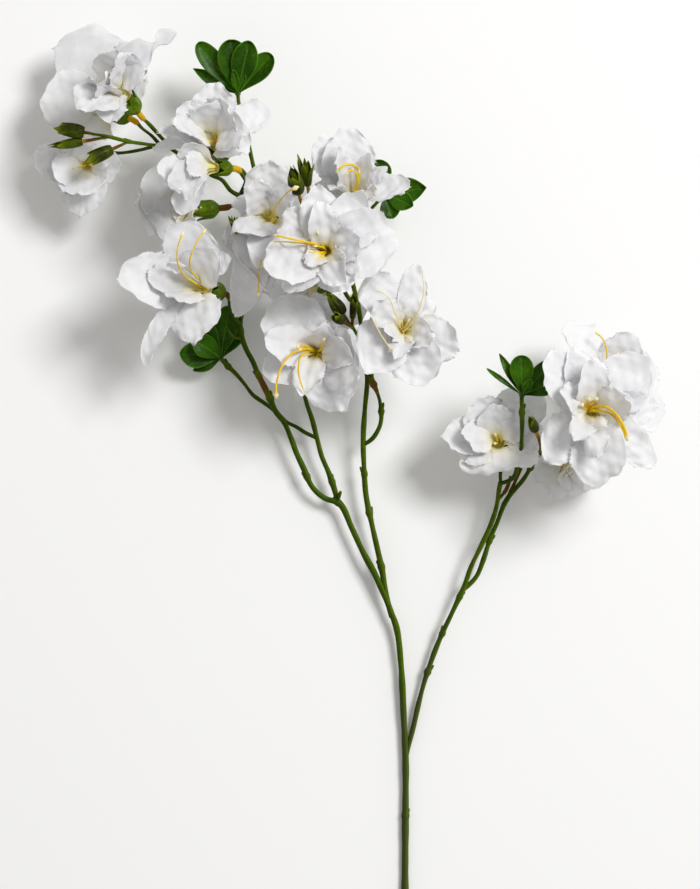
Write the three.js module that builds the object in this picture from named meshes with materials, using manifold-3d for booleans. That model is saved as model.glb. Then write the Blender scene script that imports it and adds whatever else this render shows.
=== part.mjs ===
// An artificial azalea branch lying on its back: one moulded stem that forks into side branches,
// seventeen double white blooms of die-cut fabric, their green calyces, yellow stamens, four
// rosettes of leaves, and buds. +Z is up, +Y runs from the cut end towards the blooms.
import * as THREE from "three";
import { mergeVertices } from "three/addons/utils/BufferGeometryUtils.js";
import Module from "manifold-3d";

const wasm = await Module();
wasm.setup();

// Places are written as seen straight from above: units to the right and down from the upper left
// corner of the view, and millimetres above the surface. UNIT is the size of one unit.
const UNIT = 0.65;
const VIEW_CENTRE = [350, 444.5];
const EYE_HEIGHT = 1700;
const UNIT_HEIGHT = 35;

// Sizes, in millimetres.
const PETAL_THICK = 0.75;
const LEAF_THICK = 0.8;
const PETALS = 5;
const CLAW = 0.13;
const WIDEST = 0.58;
const NECK = 0.76;
const NECK_REACH = 0.1;
const END = 42;
const LEANS = [-20, 175];
const STEEPEST = 1.3;
const ROOT_SHARE = 165;
const ROOT_RISE = 0.4;
const LEAF_STEP = 0.95;
const LEAF_END = 0.9;
const CALYX_LENGTH = 12;
const RIM_HEIGHT = 30;
const CLEARANCE = 0.3;
const NEIGHBOUR_GAP = 0.95;
const NEIGHBOUR_REACH = 115;
const NEIGHBOUR_BEND = 6;
const SURFACE_GAP = 2;
const SURFACE_BEND = 4;
const STEM_RADIUS = 2.55;
const BRANCH_RADIUS = 2.1;
const TWIG_RADIUS = 1.45;
const PEDICEL_RADIUS = 1.2;
const STALK_RADIUS = 0.85;
const STALK_DEPTH = 4;
const FILAMENT_RADIUS = 0.5;
const ANTHER_RADIUS = 1.15;
const ANTHER_END = 1.6;
const FILAMENT_FOOT = 16.5;
const FILAMENT_LEAN = 8;
const FILAMENT_STEPS = 4;

// A calyx in rings of [radius, height of its valleys, height of its sepals' tips].
const CALYX_SIDES = 10;
const CALYX_VALLEY = 0.94;
const CALYX_RINGS = [[1.7, 0, 0], [5.7, 5.2, 5.2], [6.2, 10.4, 14.8], [5.2, 10.2, 14.4], [3.3, 8.4, 8.4]];

// A bud in rings of [place of its valleys, place of its tips, girth of each], as shares.
const BUD_RINGS = [
  [0, 0, 0.45, 0.45], [0.3, 0.3, 1, 1], [0.5, 0.86, 1, 1.3], [0.58, 0.62, 0.72, 0.72],
  [1, 1, 0.14, 0.14],
];

// The column that the filaments stand on, and a rosette's hub: [radius, height] of each end.
const COLUMN = [[0.8, 12.6], [0.7, 17]];
const HUB_RADII = [1.3, 1.9, 1.0];
const HUB_SPARE = 1.4;

// The two whorls of petals. Steps are the faces along and across a petal.
const WHORLS = {
  outer: {
    seed: 0, turn: 0, start: [2.9, 12], length: 43, half: 19.5, rise: 14,
    cup: 0.28, twist: 0.17, ruffle: 2.6, curl: 12, sway: 22, spread: 8, steps: [3, 3],
    foot: [2.6, 9],
  },
  inner: {
    seed: 7, turn: 36, start: [1.9, 15.2], length: 29, half: 12.5, rise: 12,
    cup: 0.34, twist: 0.2, ruffle: 2.3, curl: 12, sway: 12, spread: 5, steps: [2, 2],
    foot: [1.6, 10.6], pit: [1.3, 12.2],
  },
};

// The blooms. at: where the petals leave the calyx. face: the way the bloom looks. turn: the angle
// of its first petal. open and heart: how far the outer and inner petals lean out, in degrees.
// flat: how level its petals lie across, from 0 to 1. wild: how strongly they wave, 1 unless given.
// core: the size of its inner petals, 1 unless given.
// rest: the least height of its petals. filaments: [gap between inner petals, length, lean, sway].
const BLOOMS = {
  tip_upper: {
    seed: 4, at: [127, 99, 64], face: [-0.50, 0.60, 0.62], turn: 20, size: 1.06, open: 62, heart: 36,
    flat: 0.5, wild: 0.6,
    filaments: [[1, 22, 30, 0], [3, 20, 30, 0]],
  },
  tip_rear: {
    seed: 13, at: [117, 106, 36], face: [-0.68, 0.38, -0.45], turn: 46, size: 1.14, open: 56, heart: 30,
    core: 0.5, flat: 1, wild: 0.4,
    filaments: [[0, 20, 25, 0], [2, 20, 25, 0]], rest: 0.4,
  },
  tip_lower: {
    seed: 7, at: [91, 162, 22], face: [-0.20, -0.38, 0.88], turn: 28, size: 0.92, open: 62, heart: 44,
    flat: 0.5, wild: 0.5,
    filaments: [[0, 22, 34, 0], [2, 22, 34, 0]], rest: 0.4,
  },
  crown_upper: {
    seed: 28, at: [218, 148, 56], face: [-0.22, 0.50, 0.80], turn: 12, size: 1.08, open: 66, heart: 42,
    flat: 0.4, wild: 0.7,
    filaments: [[3, 20, 36, 0], [1, 18, 36, 0]],
  },
  crown_side: {
    seed: 13, at: [218, 168, 76], face: [-0.80, -0.02, 0.55], turn: 46, size: 0.88, open: 48, heart: 28,
    flat: 0.6, wild: 0.5,
    filaments: [[2, 26, 28, 0], [0, 20, 22, 0]],
  },
  crown_left: {
    seed: 4, at: [200, 210, 34], face: [-0.93, -0.08, -0.10], turn: 10, size: 1.08, open: 52, heart: 32,
    core: 0.5, flat: 1, wild: 0.5,
    filaments: [[1, 20, 26, 0], [3, 20, 26, 0]],
  },
  left_low: {
    seed: 7, at: [209, 290, 54], face: [-0.62, 0.14, 0.74], turn: 16, size: 1.14, open: 66, heart: 44,
    flat: 0.7, wild: 0.6,
    filaments: [[1, 42, 44, 12], [1, 36, 48, -24]],
  },
  left_centre: {
    seed: 12, at: [271, 220, 42], face: [-0.08, 0.08, 0.99], turn: 55, size: 1.18, open: 72, heart: 48,
    filaments: [[0, 44, 60, 0], [3, 42, 62, 0]],
  },
  centre: {
    seed: 32, at: [328, 252, 84], face: [-0.12, 0.02, 0.99], turn: 32, size: 1.14, open: 76, heart: 50,
    filaments: [[2, 36, 62, -6], [2, 32, 60, 10]],
  },
  top: {
    seed: 21, at: [352, 204, 50], face: [0.02, 0.50, 0.84], turn: 10, size: 1.04, open: 66, heart: 42,
    filaments: [[1, 28, 38, -10], [1, 26, 46, 30]],
  },
  low_centre: {
    seed: 32, at: [317, 352, 46], face: [-0.06, -0.04, 0.99], turn: 46, size: 1.06, open: 70, heart: 48,
    filaments: [[3, 42, 54, -26], [3, 36, 52, 4], [2, 14, 44, 0]],
  },
  low_right: {
    seed: 28, at: [402, 330, 62], face: [0.10, 0.02, 0.99], turn: 60, size: 1.10, open: 72, heart: 48,
    filaments: [[0, 46, 50, 8], [1, 34, 50, -6], [3, 24, 44, -10]],
  },
  rear_centre: {
    seed: 7, at: [326, 286, 36], face: [-0.35, -0.25, -0.72], turn: 0, size: 1.0, open: 66, heart: 40,
    core: 0.5,
    filaments: [[0, 20, 30, 0], [2, 20, 30, 0]], rest: 1.4,
  },
  side_left: {
    seed: 13, at: [499, 446, 38], face: [-0.20, 0.42, 0.88], turn: 108, size: 1.04, open: 58, heart: 34,
    flat: 0.7, wild: 0.5,
    filaments: [[0, 20, 30, 0], [2, 18, 30, 0]],
  },
  side_front: {
    seed: 7, at: [589, 412, 70], face: [0.08, 0.02, 0.99], turn: 12, size: 1.18, open: 72, heart: 46,
    filaments: [[0, 38, 52, -56], [0, 32, 48, -40], [1, 14, 34, 0]],
  },
  side_rear: {
    seed: 28, at: [597, 390, 38], face: [0.42, 0.55, 0.25], turn: 20, size: 1.10, open: 66, heart: 40,
    core: 0.5, flat: 0.7, wild: 0.7,
    filaments: [[1, 32, 36, 0], [0, 30, 36, 0]], rest: 0.9,
  },
  side_low: {
    seed: 4, at: [566, 450, 26], face: [0.16, -0.62, -0.20], turn: 18, size: 1.0, open: 60, heart: 36,
    core: 0.5, flat: 0.8, wild: 0.6,
    filaments: [[1, 20, 26, 0], [3, 20, 26, 0]], rest: 0.4,
  },
};

// Petals with a place of their own: across, down and height of the tip, half the width in
// millimetres, how far the rim curls out, in degrees, and the share that a neck takes off its
// width. A whorl without them is an even one.
const TIPS = {
  tip_upper: {
    outer: [
      [75, 104, 82, 12, 10], [92, 82, 84, 12, 0], [108, 52, 84, 14, 0], [146, 46, 78, 11, 0],
      [106, 122, 78, 9, 20], [174, 33, 80, 8.5, 0, 0.82],
    ],
    inner: [[96, 86, 96, 10, 10], [118, 58, 96, 12, 0], [142, 62, 88, 9, 0], [92, 112, 92, 9, 20]],
  },
  tip_rear: {
    outer: [
      [93, 24, 40, 16, 0], [41, 99, 40, 18, 0], [84, 132, 26, 11, 10], [146, 84, 34, 9, 10],
      [122, 44, 24, 12, 10],
    ],
  },
  tip_lower: {
    outer: [
      [38, 153, 26, 12, 20], [50, 176, 32, 15, 10], [83, 214, 28, 14, 0], [119, 164, 28, 12, 10],
      [84, 138, 20, 11, 0],
    ],
    inner: [[54, 168, 46, 12, 20], [76, 196, 48, 15, 20], [106, 176, 42, 10, 0], [86, 144, 46, 9, 40]],
  },
  crown_upper: {
    outer: [
      [216, 82, 66, 13, 0], [184, 104, 68, 13, 10], [160, 134, 78, 13, 20], [246, 152, 78, 15, 20],
      [270, 112, 62, 10, 0], [150, 160, 62, 8, 10],
    ],
    inner: [[228, 104, 86, 13, 0], [176, 128, 90, 11, 20], [242, 130, 88, 13, 0], [204, 104, 86, 12, 0]],
  },
  crown_side: {
    outer: [
      [180, 218, 86, 8, 0], [158, 172, 96, 11, 10], [180, 150, 88, 9, 0], [178, 196, 70, 8, 0],
    ],
    inner: [[168, 182, 102, 8, 10], [186, 160, 100, 8, 0], [186, 200, 98, 6, 0]],
  },
  crown_left: {
    outer: [
      [136, 202, 44, 18, 0], [168, 242, 42, 17, 0], [150, 172, 42, 14, 0], [190, 232, 52, 8, 10],
      [176, 184, 58, 9, 0],
    ],
  },
  left_low: {
    outer: [
      [196, 214, 72, 15, 0], [121, 276, 82, 18, 40], [196, 340, 80, 17, 0], [146, 363, 62, 5, 20],
      [228, 232, 66, 14, 0],
    ],
    inner: [[144, 270, 94, 8, 50], [170, 300, 92, 9, 10], [212, 252, 90, 12, 0], [170, 262, 94, 6, 30]],
  },
  left_centre: {
    outer: [
      [270, 161, 66, 16, 0], [240, 206, 66, 13, 0], [236, 316, 66, 15, 0], [226, 262, 62, 15, 10],
      [310, 246, 50, 14, 0], [262, 306, 72, 11, 10],
    ],
    inner: [[252, 186, 86, 11, 20], [258, 268, 92, 9, 20], [286, 190, 78, 10, 10], [240, 236, 90, 12, 10]],
  },
  centre: {
    outer: [
      [396, 240, 96, 22, 0], [380, 200, 92, 17, 0], [318, 186, 102, 13, -10], [282, 212, 98, 15, 10],
      [265, 262, 104, 18, 10], [347, 288, 100, 15, 30], [286, 288, 98, 12, 10],
    ],
    inner: [
      [322, 204, 110, 9, 20], [359, 238, 108, 12, 10], [340, 284, 110, 10, 10], [342, 262, 106, 5, 40],
      [308, 262, 108, 7, 10],
    ],
  },
  top: {
    outer: [
      [321, 139, 60, 15, 0], [344, 131, 68, 18, 0], [386, 168, 70, 4.5, 0], [411, 187, 72, 9, 10],
      [305, 193, 68, 8, 20],
    ],
    inner: [[338, 148, 88, 10, 10], [368, 156, 84, 6, 0], [330, 189, 82, 7, 40], [376, 196, 80, 6, 10]],
  },
  low_centre: {
    outer: [
      [276, 299, 64, 21, 0], [264, 372, 64, 14, 0], [343, 408, 62, 18, 0], [370, 370, 88, 21, 20],
      [332, 296, 54, 16, 0],
    ],
    inner: [[268, 338, 78, 13, 0], [302, 394, 78, 9.5, 0], [326, 328, 84, 8, 0], [352, 352, 86, 11, 10]],
  },
  low_right: {
    outer: [
      [356, 267, 76, 13, 10], [418, 266, 80, 9, 0], [454, 352, 78, 16, 10], [422, 384, 76, 17, 10],
      [351, 364, 84, 18, 20], [434, 302, 74, 7, 0],
    ],
    inner: [[374, 304, 92, 11, 10], [431, 338, 92, 10, 10], [398, 354, 94, 8, 20], [384, 334, 94, 7, 20]],
  },
  rear_centre: {
    outer: [
      [266, 300, 60, 15, 0], [302, 322, 56, 14, 0], [336, 322, 66, 11, 0], [376, 286, 56, 13, 0],
      [332, 236, 38, 14, 0],
    ],
  },
  side_left: {
    outer: [
      [443, 435, 52, 12, 0], [476, 400, 56, 15, 0], [541, 390, 50, 15, 0], [500, 474, 60, 26, 40],
      [540, 428, 58, 14, 0], [460, 456, 56, 12, 0],
    ],
    inner: [
      [462, 430, 74, 10, -20], [498, 408, 76, 11, -10], [530, 424, 74, 10, -20], [500, 446, 84, 14, 30],
    ],
  },
  side_front: {
    outer: [
      [550, 356, 86, 17, 0], [574, 349, 82, 12, 0], [647, 360, 86, 19, 0], [650, 462, 80, 12, 10],
      [599, 487, 84, 17, 10], [542, 457, 82, 14, 10], [656, 408, 80, 12, 10],
    ],
    inner: [
      [592, 362, 104, 11, 0], [632, 400, 104, 11, 20], [575, 435, 104, 9, 20], [597, 456, 106, 8, 30],
      [562, 390, 102, 9, 10],
    ],
  },
  side_rear: {
    outer: [
      [565, 325, 48, 9, 0], [636, 338, 50, 14, 10], [656, 380, 36, 12, 10], [610, 340, 24, 12, 0],
      [650, 430, 44, 10, 10],
    ],
  },
  side_low: {
    outer: [
      [552, 498, 30, 13, 10], [586, 488, 24, 11, 10], [529, 462, 34, 10, 10], [538, 402, 34, 12, 10],
      [610, 470, 22, 10, 10],
    ],
  },
};

// The stems. route: places along the middle line. radius: at the foot and at the tip.
// knobs: [share of the length, swelling in millimetres] of leaf scars and nodes.
const STEMS = {
  main_stem: [
    {
      route: [
        [405, 1012, 2.6], [405, 950, 2.7], [405, 889, 2.8], [405.4, 822, 3.2], [405.6, 760, 4],
        [403.7, 717, 5], [401, 665, 6.5], [396.8, 629, 8], [388, 603, 9.5], [381.4, 567, 11],
        [372.3, 526, 12.5], [366, 495, 14], [364, 466, 16], [363.2, 440, 19], [364.8, 410, 23],
        [367.3, 380, 29], [366, 355, 36], [362, 330, 42], [358, 305, 46], [352, 280, 48],
        [347, 255, 46], [346, 235, 42],
      ],
      radius: [STEM_RADIUS, TWIG_RADIUS], steps: 30, sides: 6,
      knobs: [[0.25, 0.5], [0.57, 0.5], [0.64, 0.6], [0.69, 0.6]],
    },
    { route: [[346, 235, 42], [348, 224, 40]], bloom: "top" },
    { route: [[352, 280, 48], [344, 268, 54], [336, 258, 60]], bloom: "centre" },
    { route: [[366, 355, 36], [376, 346, 40], [386, 340, 44]], bloom: "low_right" },
    { route: [[358, 305, 46], [350, 300, 48]], bloom: "rear_centre" },
    {
      route: [
        [363.6, 445, 18.5], [373, 438, 21], [379.8, 426, 23], [381.4, 415, 25], [379.8, 401, 27],
        [377, 392, 29], [373, 383, 33], [370, 370, 38], [366, 352, 46], [359, 338, 56],
        [352, 326, 64],
      ],
      radius: [TWIG_RADIUS, 1.1], steps: 14, sides: 5,
      knobs: [[0.28, 0.8], [0.48, 0.9], [0.56, 0.5]],
    },
    { stalk: [[353, 328, 63]], bud: [328, 294, 72], girth: 8, length: 16 },
    { stalk: [[353, 328, 64]], bud: [333, 315, 79], girth: 5.6, length: 10 },
    { stalk: [[352, 329, 62]], bud: [354, 294, 74], girth: 4, length: 17 },
    {
      route: [[346, 235, 42], [358, 224, 36], [372, 208, 34], [383, 196, 36]],
      radius: [TWIG_RADIUS, 1.2], steps: 6, knobs: [],
    },
    {
      route: [[346, 235, 42], [333, 220, 40], [318, 209, 40], [304, 202, 42]],
      radius: [TWIG_RADIUS, 1.1], steps: 5, knobs: [],
    },
    { stalk: [[304, 202, 42], [302, 204, 60]], bud: [291, 168, 84], girth: 9, length: 21 },
    { stalk: [[306, 203, 42], [309, 196, 56]], bud: [304, 155, 74], girth: 5.6, length: 22 },
  ],
  left_branch: [
    {
      route: [
        [388.4, 606, 9.4], [386.0, 599, 10.4], [374.8, 574, 11], [363, 552, 11], [351.6, 527.5, 11],
        [340, 504, 11], [324.5, 498, 11], [312, 486.6, 12], [303.5, 468, 13], [296.5, 453, 14],
        [290.8, 437.5, 16], [283.8, 422, 18], [275.4, 411, 20], [269.8, 398, 22], [262.8, 384, 24],
        [257.9, 374, 26], [253, 362, 27], [246, 349, 28], [241.7, 336.5, 28], [240.3, 325, 27],
        [243, 308, 24], [247, 285, 20], [250, 262, 17], [250, 235, 16], [246, 212, 20],
        [240, 196, 26],
      ],
      radius: [BRANCH_RADIUS, TWIG_RADIUS], steps: 30, sides: 5,
      knobs: [[0.27, 0.5], [0.36, 0.6], [0.545, 0.9], [0.60, 0.5]],
    },
    { route: [[337, 502, 11], [338.5, 498, 13], [340.5, 492, 17]], radius: [1.5, 1.1], steps: 3 },
    { route: [[240.3, 325, 27], [234.7, 318, 31], [230, 309, 36]], bloom: "left_low" },
    { route: [[241.7, 338, 28], [233, 337, 32], [226, 327, 34]], radius: [1.2, 0.9], steps: 5 },
    { route: [[250, 241, 16.3], [258, 233, 20], [266, 226, 24]], bloom: "left_centre" },
    { route: [[240, 196, 26], [246, 178, 34], [242, 170, 38]], bloom: "crown_upper" },
    { route: [[240, 196, 26], [247, 187, 42], [244, 178, 56]], bloom: "crown_side" },
    { route: [[245, 208, 21], [239, 204, 28]], bloom: "crown_left" },
    {
      route: [
        [240, 196, 26], [230, 190, 40], [222, 180, 46], [213, 176, 44], [200, 168, 36],
        [185, 158, 30], [169, 148, 30], [158, 145, 32],
      ],
      radius: [TWIG_RADIUS, TWIG_RADIUS], steps: 10, sides: 5,
    },
    { route: [[169, 146, 30], [160, 136, 36], [149, 124, 44]], bloom: "tip_upper" },
    { route: [[160, 145, 32], [152, 136, 32], [143, 129, 33]], bloom: "tip_rear" },
    { route: [[158, 145, 32], [140, 150, 20], [120, 153, 9], [106, 153, 5.5]], bloom: "tip_lower" },
    {
      route: [[160, 146, 32], [145, 144, 44], [126, 141, 57], [106, 136, 63], [92, 134, 64]],
      radius: [1.3, 1.0], steps: 8, knobs: [[0.55, 0.4]],
    },
    { stalk: [[94, 134, 64]], bud: [53, 127, 65], girth: 8, length: 20 },
    { stalk: [[108, 137, 62]], bud: [50, 147, 62], girth: 5.6, length: 21 },
    { stalk: [[128, 142, 56]], bud: [84, 162, 64], girth: 8, length: 20 },
    { route: [[172, 148, 30], [168, 136, 38], [163, 129, 44]], radius: [1.1, 0.6], steps: 4 },
    {
      route: [
        [246, 212, 20], [255, 196, 22], [256, 180, 26], [252, 160, 32], [247, 138, 36],
        [243, 114, 40], [239, 104, 41], [238, 96, 42],
      ],
      radius: [TWIG_RADIUS, 1.35], steps: 12, sides: 5, knobs: [[0.80, 0.7], [0.88, 0.5]],
    },
    {
      stalk: [[241, 322, 26], [243, 296, 36], [243, 272, 50], [239, 252, 64]],
      bud: [234, 215, 68], girth: 4.4, length: 11,
    },
  ],
  middle_branch: [
    {
      route: [
        [339, 505, 11], [334, 488, 11.5], [328.7, 472.6, 12], [321.7, 456, 13], [316.8, 437.5, 14],
        [312, 419, 15], [306, 401, 16], [304, 388, 17], [306, 372, 20], [311, 360, 24],
      ],
      radius: [BRANCH_RADIUS * 0.9, 1.3], steps: 14, sides: 6, knobs: [[0.16, 0.4]],
    },
    { route: [[309, 364, 22.5], [314, 356, 27]], bloom: "low_centre" },
    {
      route: [
        [316.8, 438, 14], [306, 433, 13], [296.5, 427, 11], [286.6, 422, 10], [280, 416, 10],
        [272.6, 409, 10], [262.8, 402, 10], [253, 395, 10], [244.5, 384, 10], [236, 374, 10],
        [227.7, 366, 11], [222, 360, 12],
      ],
      radius: [1.35, 1.35], steps: 14, sides: 5, knobs: [[0.93, 0.9]],
    },
  ],
  right_branch: [
    {
      route: [
        [406, 757, 4], [409.3, 743, 4.4], [413.6, 726, 5], [418.8, 703, 6], [425, 680, 7],
        [437.7, 644, 9], [453.4, 610, 12], [464, 587, 14], [471, 567, 16], [481.6, 545, 18],
        [491, 524, 20], [496.4, 507, 22], [499.3, 488, 25], [500.7, 482, 27],
      ],
      radius: [1.7, 1.6], steps: 18, sides: 6, knobs: [[0.30, 0.9], [0.44, 0.7], [0.58, 0.4]],
    },
    { route: [[500.7, 484, 26], [500.4, 474, 27]], bloom: "side_left" },
    {
      route: [
        [500.7, 483.5, 26.5], [512, 479, 27], [518, 464, 39], [521, 450, 53], [522, 430, 64],
        [522, 411, 68], [521.7, 397, 68],
      ],
      radius: [1.5, 1.4], steps: 9, sides: 5, knobs: [[0.88, 0.7]],
    },
    {
      route: [
        [463, 590, 13.7], [471, 583, 13], [477.3, 575, 12.5], [484, 558, 13], [490, 539, 14],
        [497, 523, 15], [503.6, 505.5, 17], [509.3, 496, 19], [517, 487, 22], [523.7, 479, 26],
        [530.4, 468, 32], [538, 456, 41], [548, 442, 50], [560, 430, 54],
      ],
      radius: [1.6, 1.5], steps: 14, sides: 5, knobs: [[0.28, 0.8], [0.72, 0.9]],
    },
    { route: [[558, 432, 53.5], [574, 420, 52]], bloom: "side_front" },
    { route: [[558, 432, 53.5], [566, 424, 44], [570, 416, 38]], bloom: "side_rear" },
    { route: [[550, 440, 50.5], [558, 428, 42]], bloom: "side_low" },
    { stalk: [[540, 453, 43], [540, 442, 62]], bud: [530, 417, 76], girth: 5.4, length: 12 },
    { route: [[498, 500, 22.5], [506, 490, 21], [511, 476, 20]], radius: [1.1, 0.8], steps: 3 },
    { route: [[505, 503, 18], [514, 484, 20], [521, 468, 20]], radius: [1.1, 0.8], steps: 3 },
  ],
};

// The leaf rosettes. at: the stem's tip. leaves: [angle, length, width, lean, point] for each; the
// angle is seen from above, lean is how far the leaf turns up from lying flat, in degrees, and point
// is 0 for a round tip and 1 for a sharp one.
const ROSETTES = {
  crown_leaves: {
    at: [238, 94, 42.5],
    leaves: [
      [129, 41, 14, 14, 0], [151, 33, 9, 8, 1], [97, 34, 20, 27, 0], [76, 34, 17, 33, 0.2],
      [48, 33, 15, 15, 0], [100, 15, 5, 52, 0.4], [66, 13, 4.5, 44, 0.5],
    ],
  },
  top_leaves: {
    at: [385, 194, 36.6],
    leaves: [
      [8, 27, 17, 6, 1], [104, 22, 15, 18, 0.1], [287, 17, 13, 6, 0.2], [335, 20, 13, 14, 0.6],
      [125, 15, 9, 40, 0],
    ],
  },
  twig_leaves: {
    at: [221, 358.5, 12.4],
    leaves: [
      [173, 27, 17, 20, 0.3], [80, 35, 17, 24, 0.1], [120, 31, 15, 34, 0], [204, 20, 8, 6, 0.8],
      [142, 22, 15, 50, 0], [60, 26, 13, 6, 0.2],
    ],
  },
  side_leaves: {
    at: [521.7, 395, 68.6],
    leaves: [
      [92, 25, 15, 12, 0], [119, 30, 5.5, 8, 0.8], [143, 28, 3.2, 4, 0.3], [48, 30, 12, 10, 0.4],
      [21, 25, 12, 5, 0.3], [62, 12, 6, 50, 0.3],
    ],
  },
};

// Small helpers.

const fraction = (value) => value - Math.floor(value);

// A repeatable number from 0 to 1 for a list of whole numbers.
function draw(...keys) {
  let sum = 0;
  keys.forEach((key, place) => {
    sum += key * (12.9898 + 65.24 * place);
  });
  return fraction(Math.sin(sum) * 43758.5453);
}

const swing = (...keys) => 2 * draw(...keys) - 1;

const clamp = (value, low, high) => Math.min(Math.max(value, low), high);

function smooth(from, to, value) {
  const share = clamp((value - from) / (to - from), 0, 1);
  return share * share * (3 - 2 * share);
}

const radians = THREE.MathUtils.degToRad;

function toPlace([across, down, height]) {
  const scale = (UNIT * (EYE_HEIGHT - height)) / (EYE_HEIGHT - UNIT_HEIGHT);
  return new THREE.Vector3((across - VIEW_CENTRE[0]) * scale, (VIEW_CENTRE[1] - down) * scale, height);
}

// The frame of a bloom: its own x and y axes and the way it faces.
function frameOf(bloom) {
  const facing = new THREE.Vector3(...bloom.face).normalize();
  const right = new THREE.Vector3(0, 1, 0).cross(facing).normalize();
  const up = facing.clone().cross(right);
  return { right, up, facing };
}

// A point of a bloom's own frame, in place. Its calyx starts at the origin of that frame.
function inBloom(bloom, point) {
  const { right, up, facing } = frameOf(bloom);
  return toPlace(bloom.at)
    .addScaledVector(right, point.x * bloom.size)
    .addScaledVector(up, point.y * bloom.size)
    .addScaledVector(facing, (point.z - CALYX_LENGTH) * bloom.size);
}

const RIM_CENTRES = Object.fromEntries(
  Object.entries(BLOOMS).map(([name, bloom]) => [
    name, inBloom(bloom, new THREE.Vector3(0, 0, RIM_HEIGHT)),
  ]),
);

// Moves a point back softly where it would pass a limit: value grows towards 0 and stays below it.
function softly(value, reach) {
  return value > -reach ? -reach * Math.exp(-(value + reach) / reach) : value;
}

// Bends a point of a petal clear of the planes half way to each neighbour, and of the surface.
function bentClear(name, point) {
  const bloom = BLOOMS[name];
  const here = RIM_CENTRES[name];
  const bent = point.clone();
  for (const [other, centre] of Object.entries(RIM_CENTRES)) {
    const towards = centre.clone().sub(here);
    const distance = towards.length();
    if (other === name || distance > NEIGHBOUR_REACH) continue;
    towards.divideScalar(distance);
    const share = bloom.size / (bloom.size + BLOOMS[other].size);
    const past = bent.clone().sub(here).dot(towards) - distance * share + NEIGHBOUR_GAP;
    bent.addScaledVector(towards, softly(past, NEIGHBOUR_BEND) - past);
  }
  const low = (bloom.rest ?? SURFACE_GAP) + PETAL_THICK / 2 - bent.z;
  bent.z -= softly(low, SURFACE_BEND) - low;
  return bent;
}

// Petals.

// The lean of a petal from the bloom's axis, at a share of its length.
function leanAt(share, whorl, open, curl) {
  const rise = radians(whorl.rise);
  const spread = (radians(open) - rise) * smooth(0.1, 0.6, share);
  return rise + spread + radians(curl) * smooth(0.6, 1.15, share);
}

// The distance out and up that a petal has reached, as the integral of its lean.
function reachAt(share, whorl, length, open, curl) {
  const strips = 12;
  let [out, up] = whorl.start;
  for (let strip = 0; strip < strips; strip += 1) {
    const lean = leanAt((share * (strip + 0.5)) / strips, whorl, open, curl);
    out += (Math.sin(lean) * length * share) / strips;
    up += (Math.cos(lean) * length * share) / strips;
  }
  return [out, up];
}

// A petal laid flat, as a share of its length and a distance to the side: a narrow claw, then a
// blade with a round end.
function planform(along, across, half) {
  const end = radians(END);
  const edge = along * (WIDEST + (1 - WIDEST) * Math.cos(end));
  const swell = (Math.cos(end * across) - Math.cos(end)) / (1 - Math.cos(end));
  const widen = CLAW + (1 - CLAW) * Math.sin(0.5 * Math.PI * clamp(edge / WIDEST, 0, 1)) ** 1.2;
  const narrow = Math.sqrt(1 - clamp((edge - WIDEST) / (1 - WIDEST), 0, 1) ** 2);
  const side = (half * widen * narrow * Math.sin(end * across)) / Math.sin(end);
  return [edge + (along - edge) * swell, side];
}

// The way, lean, size, curl and slope of a petal that only its bloom and seed place.
function plainPetal(bloom, whorl, index) {
  const key = [bloom.seed, whorl.seed + index];
  const size = whorl.seed ? bloom.core ?? 1 : 1;
  return {
    angle: radians(bloom.turn + whorl.turn + (360 / PETALS) * index + 3 * swing(...key, 1)),
    open: (whorl.seed ? bloom.heart : bloom.open) + whorl.spread * swing(...key, 2),
    curl: whorl.curl + whorl.sway * swing(...key, 3),
    length: whorl.length * size * (1 + 0.07 * swing(...key, 4)),
    half: whorl.half * size * (1 + 0.07 * swing(...key, 5)),
    slope: 0,
    neck: 0,
  };
}

// The same for a petal whose tip is at a place: the lean is the one whose arc of unit length points
// the right way, and the length makes it reach. In a flat bloom its slope turns the blade level. A
// neck makes the blade narrow before its end.
function petalTo(bloom, whorl, [across, down, height, half, curl, neck = 0]) {
  const { right, up, facing } = frameOf(bloom);
  const away = toPlace([across, down, height]).sub(toPlace(bloom.at)).divideScalar(bloom.size);
  const angle = Math.atan2(away.dot(up), away.dot(right));
  const out = Math.hypot(away.dot(up), away.dot(right)) - whorl.start[0];
  const rise = away.dot(facing) + CALYX_LENGTH - whorl.start[1];
  let best = { miss: Infinity };
  for (let lean = LEANS[0]; lean <= LEANS[1]; lean += 1) {
    const [far, high] = reachAt(1, whorl, 1, lean, curl).map((value, i) => value - whorl.start[i]);
    const miss = 1 - (far * out + high * rise) / Math.hypot(far, high) / Math.hypot(out, rise);
    if (miss < best.miss) best = { miss, lean, unit: Math.hypot(far, high) };
  }
  const lean = radians(best.lean);
  const over = up.z * Math.cos(angle) - right.z * Math.sin(angle);
  const top = facing.z * Math.sin(lean)
    - Math.cos(lean) * (right.z * Math.cos(angle) + up.z * Math.sin(angle));
  const slope = clamp((-over * top) / (top * top + 0.05), -STEEPEST, STEEPEST) * (bloom.flat ?? 0);
  const length = Math.hypot(out, rise) / best.unit;
  return { angle, open: best.lean, curl, length, half: half / bloom.size, slope, neck };
}

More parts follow.
